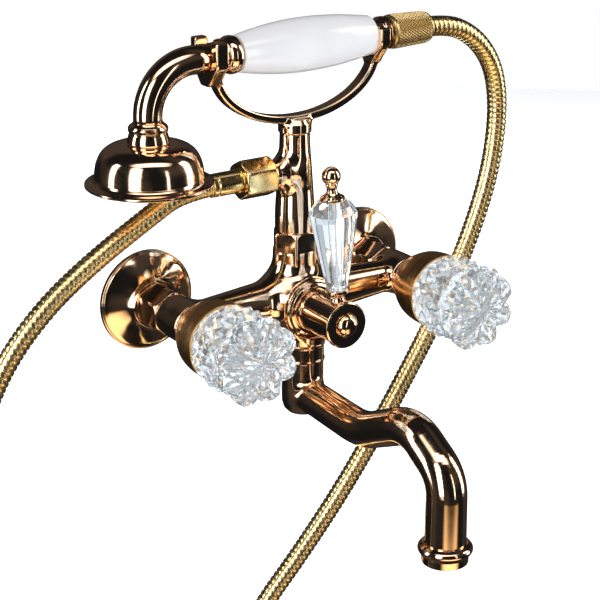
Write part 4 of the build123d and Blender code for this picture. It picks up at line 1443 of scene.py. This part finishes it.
class FAUCET_OT_hose_nut(bpy.types.Operator):
    """Makes the conical hose nut with its knurled grip"""

    bl_idname = "faucet.hose_nut"
    bl_label = "Hose Nut"

    KNURL_START = 67.0
    KNURL_END = 89.8

    def execute(self, context):
        gold = material("satin_yellow_gold")
        axis = along_axis("hose_cone_nut")
        nut = [(7.3, 64.0), (9.3, 64.0, 0.3), (9.75, 65.0, 0.3), (9.6, 66.6, 0.2), (9.3, 67.0, 0.2)]
        nut += [(8.5, 90.2, 0.2), (8.8, 90.6, 0.3), (8.7, 91.6, 0.5), (7.4, 93.0, 0.4)]
        nut += [(6.3, 93.0), (6.3, 73.0), (7.3, 72.0)]
        stand_for(turned("cone_nut", nut, axis, gold), "hose_cone_nut")
        piece = self.knurling(gold, axis)
        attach(piece, "hose_nut")
        return {"FINISHED"}

    def knurling(self, gold, axis):
        """Small pyramids in staggered rows round the cone."""
        inputs = {
            "Rows": ("NodeSocketInt", 19),
            "Columns": ("NodeSocketInt", 36),
            "Start": ("NodeSocketFloat", self.KNURL_START * MM),
            "End": ("NodeSocketFloat", self.KNURL_END * MM),
            "Start Radius": ("NodeSocketFloat", 0.0092),
            "End Radius": ("NodeSocketFloat", 0.0084),
            "Tooth": ("NodeSocketFloat", 0.0011),
            "Height": ("NodeSocketFloat", 0.0011),
        }
        tree = Tree("knurling", inputs)
        total = tree.math("MULTIPLY", "Rows", "Columns")
        dots = tree.add("GeometryNodeMeshLine", {"Count": total}, mode="OFFSET")
        index = tree.add("GeometryNodeInputIndex").outputs[0]
        row = tree.math("FLOOR", tree.math("DIVIDE", index, "Columns"))
        column = tree.math("MODULO", index, "Columns")
        stagger = tree.math("MULTIPLY", tree.math("MODULO", row, 2.0), 0.5)
        share = tree.math("DIVIDE", tree.math("ADD", column, stagger), "Columns")
        angle = tree.math("MULTIPLY", share, TURN)
        last = tree.math("SUBTRACT", "Rows", 1.0)
        along = tree.math("DIVIDE", row, last)
        length = tree.math("SUBTRACT", "End", "Start")
        height = tree.math("ADD", "Start", tree.math("MULTIPLY", length, along))
        narrowing = tree.math("SUBTRACT", "End Radius", "Start Radius")
        narrowing = tree.math("MULTIPLY", narrowing, along)
        radius = tree.math("ADD", "Start Radius", narrowing)
        cos, sin = tree.math("COSINE", angle), tree.math("SINE", angle)
        x, y = tree.math("MULTIPLY", radius, cos), tree.math("MULTIPLY", radius, sin)
        place = tree.add("ShaderNodeCombineXYZ", {"X": x, "Y": y, "Z": height})
        placed = tree.add(
            "GeometryNodeSetPosition", {"Geometry": dots.outputs[0], "Position": place.outputs[0]}
        )
        outward = tree.add("ShaderNodeCombineXYZ", {"X": cos, "Y": sin})
        tilt = tree.add(
            "FunctionNodeAlignRotationToVector", {"Vector": outward.outputs[0]}, axis="Z"
        )
        tooth = tree.add(
            "GeometryNodeMeshCone",
            {"Vertices": 4, "Radius Top": 0.0, "Radius Bottom": "Tooth", "Depth": "Height"},
        )
        teeth = tree.add(
            "GeometryNodeInstanceOnPoints",
            {
                "Points": placed.outputs[0],
                "Instance": tooth.outputs[0],
                "Rotation": tilt.outputs[0],
            },
        )
        tree.finish(teeth.outputs[0], gold)
        return grown("knurled_grip", tree, gold, axis)


class FAUCET_OT_hose(bpy.types.Operator):
    """Makes the shower hose: an interlocked spiral strip along its hanging route"""

    bl_idname = "faucet.hose"
    bl_label = "Shower Hose"

    RADIUS = 0.006
    # One turn of the strip, as (share of the pitch, share of the groove's depth).
    STRIP = [(0.0, 1.0), (0.07, 0.12), (0.16, 0.0), (0.70, 0.0), (0.79, 0.12), (0.86, 1.0)]
    AROUND = 20
    LOOK_AHEAD = 0.001
    CREASE = math.radians(42)
    # From the nut down to where the hose hangs still when the hand shower is lifted.
    SLACK = Vector((0.112, 0.0, 0.084))

    def execute(self, context):
        route = self.route()
        lengths = [0.0, *np.cumsum(np.linalg.norm(np.diff(route, axis=0), axis=1))]
        piece = self.strip(route, np.array(lengths))
        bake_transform(piece)
        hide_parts("shower_hose")
        return {"FINISHED"}

    def route(self):
        """The points of the hose's smooth line, from a spline with the route as control points."""
        plane_y = middle("shower_hose").y
        line = bpy.data.curves.new("hose_line", "CURVE")
        line.dimensions = "3D"
        spline = line.splines.new("NURBS")
        spline.points.add(len(HOSE_ROUTE) - 1)
        for point, (x, z) in zip(spline.points, HOSE_ROUTE):
            point.co = (x, plane_y, z, 1)
        spline.order_u = 3
        spline.use_endpoint_u = True
        line.resolution_u = 24
        holder = bpy.data.objects.new("hose_line", line)
        bpy.context.scene.collection.objects.link(holder)
        evaluated = holder.evaluated_get(bpy.context.evaluated_depsgraph_get())
        mesh = bpy.data.meshes.new_from_object(evaluated)
        points = np.array([v.co for v in mesh.vertices])
        bpy.data.objects.remove(holder)
        bpy.data.meshes.remove(mesh)
        return points

    def strip(self, route, lengths):
        """A helical strip: each turn's last column meets the next turn's first."""
        hose = settings("hose")
        turns = int(lengths[-1] / hose.pitch) - 1
        rings = turns * len(self.STRIP)
        points, faces = [], []
        plane = np.array((0, 1, 0))

        def at(along):
            return np.array([np.interp(along, lengths, route[:, k]) for k in range(3)])

        for i in range(rings):
            share, groove = self.STRIP[i % len(self.STRIP)]
            radius = self.RADIUS - hose.groove * groove
            for j in range(self.AROUND):
                along = (i // len(self.STRIP) + share + j / self.AROUND) * hose.pitch
                along = min(along, lengths[-1])
                run = at(along + self.LOOK_AHEAD) - at(along - self.LOOK_AHEAD)
                across = np.cross(run / np.linalg.norm(run), plane)
                angle = TURN * j / self.AROUND
                spoke = math.cos(angle) * across + math.sin(angle) * plane
                points.append(at(along) + radius * spoke)
        per_turn = len(self.STRIP)
        for i in range(rings - 1):
            for j in range(self.AROUND):
                if j < self.AROUND - 1:
                    a, b = (i, j), (i, j + 1)
                    c, d = (i + 1, j + 1), (i + 1, j)
                else:
                    if i + 1 + per_turn >= rings:
                        continue
                    a, b = (i, j), (i + per_turn, 0)
                    c, d = (i + 1 + per_turn, 0), (i + 1, j)
                faces.append([row * self.AROUND + column for row, column in (a, b, c, d)])
        piece = piece_from("hose_strip", points, faces, material("hose_gold"))
        shape = bmesh.new()
        shape.from_mesh(piece.data)
        bmesh.ops.holes_fill(shape, edges=[e for e in shape.edges if e.is_boundary])
        bmesh.ops.recalc_face_normals(shape, faces=shape.faces)
        shape.to_mesh(piece.data)
        shape.free()
        piece.data.set_sharp_from_angle(angle=self.CREASE)
        return piece


# Inner parts ---------------------------------------------------------------------------------


class FAUCET_OT_inner_parts(bpy.types.Operator):
    """Gives the carried CAD parts their finishes: spindles, discs, seals, screws and the aerator"""

    bl_idname = "faucet.inner_parts"
    bl_label = "Inner Parts"

    def execute(self, context):
        for name, node in frame["nodes"].items():
            if node.hide_render:
                continue
            finish = material(slot_of(name))
            if not node.material_slots:
                raise RuntimeError(f"{name} has no material slot")
            for place in node.material_slots:
                place.material = finish
        return {"FINISHED"}


# Stage ---------------------------------------------------------------------------------------


class FAUCET_OT_stage(bpy.types.Operator):
    """Sets the camera, the pale floor, the white tent and the softboxes"""

    bl_idname = "faucet.stage"
    bl_label = "Stage"

    AZIMUTH = -33.95
    ELEVATION = 19.86
    TARGET = Vector((-0.0065, -0.06, 0.0031))
    DISTANCE = 1.098
    LENS = 114.3
    TENT_R = 9.0
    BACKDROP_R = 9.5
    # (azimuth, elevation, distance, width, height, radiance, colour) of each soft-edged card.
    CARDS = [
        (-60, 14, 2.6, 1.3, 3.2, 7.0, (1.0, 0.97, 0.94)),
        (-112, 12, 2.6, 0.75, 3.0, 7.0, (1.0, 0.96, 0.92)),
        (62, 14, 2.6, 1.0, 3.2, 6.0, (1.0, 0.93, 0.84)),
        (8, 8, 2.9, 0.35, 2.6, 3.0, (1.0, 0.95, 0.9)),
        (-24, 62, 2.3, 3.6, 0.95, 3.0, (1.0, 0.88, 0.78)),
        (-10, -42, 2.2, 3.4, 1.4, 2.2, (1.0, 0.70, 0.38)),
    ]

    def execute(self, context):
        self.camera(context)
        self.cards()
        self.tent()
        self.floor()
        context.scene.view_settings.view_transform = "Standard"
        return {"FINISHED"}

    def direction(self, azimuth, elevation):
        a, e = math.radians(azimuth), math.radians(elevation)
        return Vector((math.sin(a) * math.cos(e), -math.cos(a) * math.cos(e), math.sin(e)))

    def camera(self, context):
        back = self.direction(self.AZIMUTH, self.ELEVATION)
        data = bpy.data.cameras.new("camera")
        data.lens = self.LENS
        data.clip_start, data.clip_end = 0.05, 60
        camera = bpy.data.objects.new("camera", data)
        camera.location = self.TARGET + back * self.DISTANCE
        camera.rotation_euler = (-back).to_track_quat("-Z", "Y").to_euler()
        context.scene.collection.objects.link(camera)
        context.scene.camera = camera

    def cards(self):
        """Light cards that fade towards their edges, seen in reflections but not by the camera."""
        for index, (azimuth, elevation, distance, width, height, *light) in enumerate(self.CARDS):
            radiance, colour = light
            x, y = width / 2, height / 2
            corners = [(-x, -y, 0), (x, -y, 0), (x, y, 0), (-x, y, 0)]
            finish = self.glow(f"card_{index}", colour, radiance)
            self.fade(finish, width, height)
            card = piece_from(f"card_{index}", corners, [[0, 1, 2, 3]], finish)
            back = self.direction(azimuth, elevation)
            card.location = back * distance
            card.rotation_euler = back.to_track_quat("Z", "Y").to_euler()
            card.visible_camera = False
            card.visible_shadow = False
            card.visible_diffuse = elevation > 50

    def glow(self, name, colour, strength):
        finish = bpy.data.materials.new(name)
        finish.use_nodes = True
        nodes = finish.node_tree.nodes
        glow = nodes.new("ShaderNodeEmission")
        glow.name = "Glow"
        glow.inputs["Color"].default_value = (*colour, 1)
        glow.inputs["Strength"].default_value = strength
        finish.node_tree.links.new(glow.outputs[0], nodes["Material Output"].inputs["Surface"])
        return finish

    def patch(self, finish):
        """Varies a glow in broad patches, so that clear pieces have something to bend."""
        nodes, links = finish.node_tree.nodes, finish.node_tree.links
        noise = nodes.new("ShaderNodeTexNoise")
        noise.inputs["Scale"].default_value = 0.35
        links.new(nodes.new("ShaderNodeTexCoord").outputs["Object"], noise.inputs["Vector"])
        ramp = nodes.new("ShaderNodeMapRange")
        strength = nodes["Glow"].inputs["Strength"].default_value
        ramp.inputs["From Min"].default_value = 0.36
        ramp.inputs["From Max"].default_value = 0.6
        ramp.inputs["To Min"].default_value = 0.5 * strength
        ramp.inputs["To Max"].default_value = 1.9 * strength
        links.new(noise.outputs["Fac"], ramp.inputs["Value"])
        links.new(ramp.outputs[0], nodes["Glow"].inputs["Strength"])

    def fade(self, finish, width, height):
        """Scales a card's glow down to nothing over the outer part of each side."""
        nodes, links = finish.node_tree.nodes, finish.node_tree.links
        split = nodes.new("ShaderNodeSeparateXYZ")
        links.new(nodes.new("ShaderNodeTexCoord").outputs["Object"], split.inputs[0])
        strength = nodes["Glow"].inputs["Strength"].default_value
        shares = []
        for axis, size, inner in ((0, width, 0.35), (1, height, 0.6)):
            far = nodes.new("ShaderNodeMath")
            far.operation = "ABSOLUTE"
            links.new(split.outputs[axis], far.inputs[0])
            ramp = nodes.new("ShaderNodeMapRange")
            ramp.interpolation_type = "SMOOTHSTEP"
            ramp.inputs["From Min"].default_value = size / 2
            ramp.inputs["From Max"].default_value = size / 2 * inner
            links.new(far.outputs[0], ramp.inputs["Value"])
            shares.append(ramp.outputs[0])
        both = nodes.new("ShaderNodeMath")
        both.operation = "MULTIPLY"
        scaled = nodes.new("ShaderNodeMath")
        scaled.operation = "MULTIPLY"
        scaled.inputs[1].default_value = strength
        links.new(shares[0], both.inputs[0])
        links.new(shares[1], both.inputs[1])
        links.new(both.outputs[0], scaled.inputs[0])
        links.new(scaled.outputs[0], nodes["Glow"].inputs["Strength"])

    def tent(self):
        """A white tent and backdrop, and a dark room that only reflections show."""
        world = bpy.data.worlds.new("studio")
        bpy.context.scene.world = world
        world.use_nodes = True
        nodes, links = world.node_tree.nodes, world.node_tree.links
        patches = nodes.new("ShaderNodeTexNoise")
        patches.inputs["Scale"].default_value = 1.3
        patches.inputs["Detail"].default_value = 0.5
        links.new(nodes.new("ShaderNodeTexCoord").outputs["Generated"], patches.inputs["Vector"])
        ramp = nodes.new("ShaderNodeValToRGB")
        ramp.color_ramp.elements[0].position, ramp.color_ramp.elements[1].position = 0.46, 0.68
        ramp.color_ramp.elements[0].color = (0.010, 0.011, 0.013, 1)
        ramp.color_ramp.elements[1].color = (0.062, 0.052, 0.045, 1)
        links.new(patches.outputs["Fac"], ramp.inputs["Fac"])
        links.new(ramp.outputs["Color"], nodes["Background"].inputs["Color"])
        tent_light = settings("studio").tent_light
        tent = self.sphere("tent", self.TENT_R, (0.86, 0.935, 1.0), tent_light)
        self.patch(tent.data.materials[0])
        tent.visible_camera = False
        tent.visible_glossy = False
        backdrop = self.sphere("backdrop", self.BACKDROP_R, (1.0, 1.0, 1.0), 1.0)
        for flag in ("visible_diffuse", "visible_glossy", "visible_transmission", "visible_shadow"):
            setattr(backdrop, flag, False)

    def sphere(self, name, radius, colour, strength):
        shape = bmesh.new()
        bmesh.ops.create_uvsphere(shape, u_segments=48, v_segments=24, radius=radius)
        mesh = bpy.data.meshes.new(name)
        shape.to_mesh(mesh)
        shape.free()
        mesh.materials.append(self.glow(name, colour, strength))
        ball = bpy.data.objects.new(name, mesh)
        bpy.context.scene.collection.objects.link(ball)
        return ball

    def floor(self):
        height = CAD_BOX[0].z - settings("studio").floor_drop
        signs = [(-1, -1), (1, -1), (1, 1), (-1, 1)]
        corners = [(x * self.TENT_R, y * self.TENT_R, height) for x, y in signs]
        paint = Paint("pale_floor")
        paint.colours(paint.noise(1.5, 2), (0.3, (0.93, 0.93, 0.93)), (0.7, (0.96, 0.96, 0.96)))
        paint.set(Roughness=0.9, Specular_IOR_Level=0.0)
        paint.set(Emission_Color=(1, 1, 1, 1), Emission_Strength=0.6)
        floor = piece_from("floor", corners, [[0, 1, 2, 3]], paint.material)
        floor.visible_glossy = False
        floor.visible_transmission = False


# Add-on --------------------------------------------------------------------------------------

OPERATORS = [
    FAUCET_OT_stage,
    FAUCET_OT_hose,
    FAUCET_OT_wall_fittings,
    FAUCET_OT_casting,
    FAUCET_OT_valve_trims,
    FAUCET_OT_crystal_knobs,
    FAUCET_OT_diverter,
    FAUCET_OT_lever,
    FAUCET_OT_spout,
    FAUCET_OT_column,
    FAUCET_OT_cradle,
    FAUCET_OT_hand_shower,
    FAUCET_OT_hose_nut,
    FAUCET_OT_inner_parts,
]


class FAUCET_PT_panel(bpy.types.Panel):
    bl_label = "Bath Faucet"
    bl_idname = "FAUCET_PT_panel"
    bl_space_type = "VIEW_3D"
    bl_region_type = "UI"
    bl_category = "Bath Faucet"

    def draw(self, context):
        for operator in OPERATORS:
            self.layout.operator(operator.bl_idname)
        for group, kind in SETTINGS.items():
            box = self.layout.box()
            box.label(text=group.capitalize())
            for name in kind.__annotations__:
                box.prop(settings(group), name)


def register():
    for kind in (*SETTINGS.values(), *OPERATORS, FAUCET_PT_panel):
        bpy.utils.register_class(kind)
    for group, kind in SETTINGS.items():
        setattr(bpy.types.Scene, "faucet_" + group, PointerProperty(type=kind))


def unregister():
    for group in SETTINGS:
        delattr(bpy.types.Scene, "faucet_" + group)
    for kind in (FAUCET_PT_panel, *reversed(OPERATORS), *SETTINGS.values()):
        bpy.utils.unregister_class(kind)


def main():
    register()
    for operator in OPERATORS:
        group, name = operator.bl_idname.split(".")
        getattr(getattr(bpy.ops, group), name)()


if __name__ == "__main__":
    main()
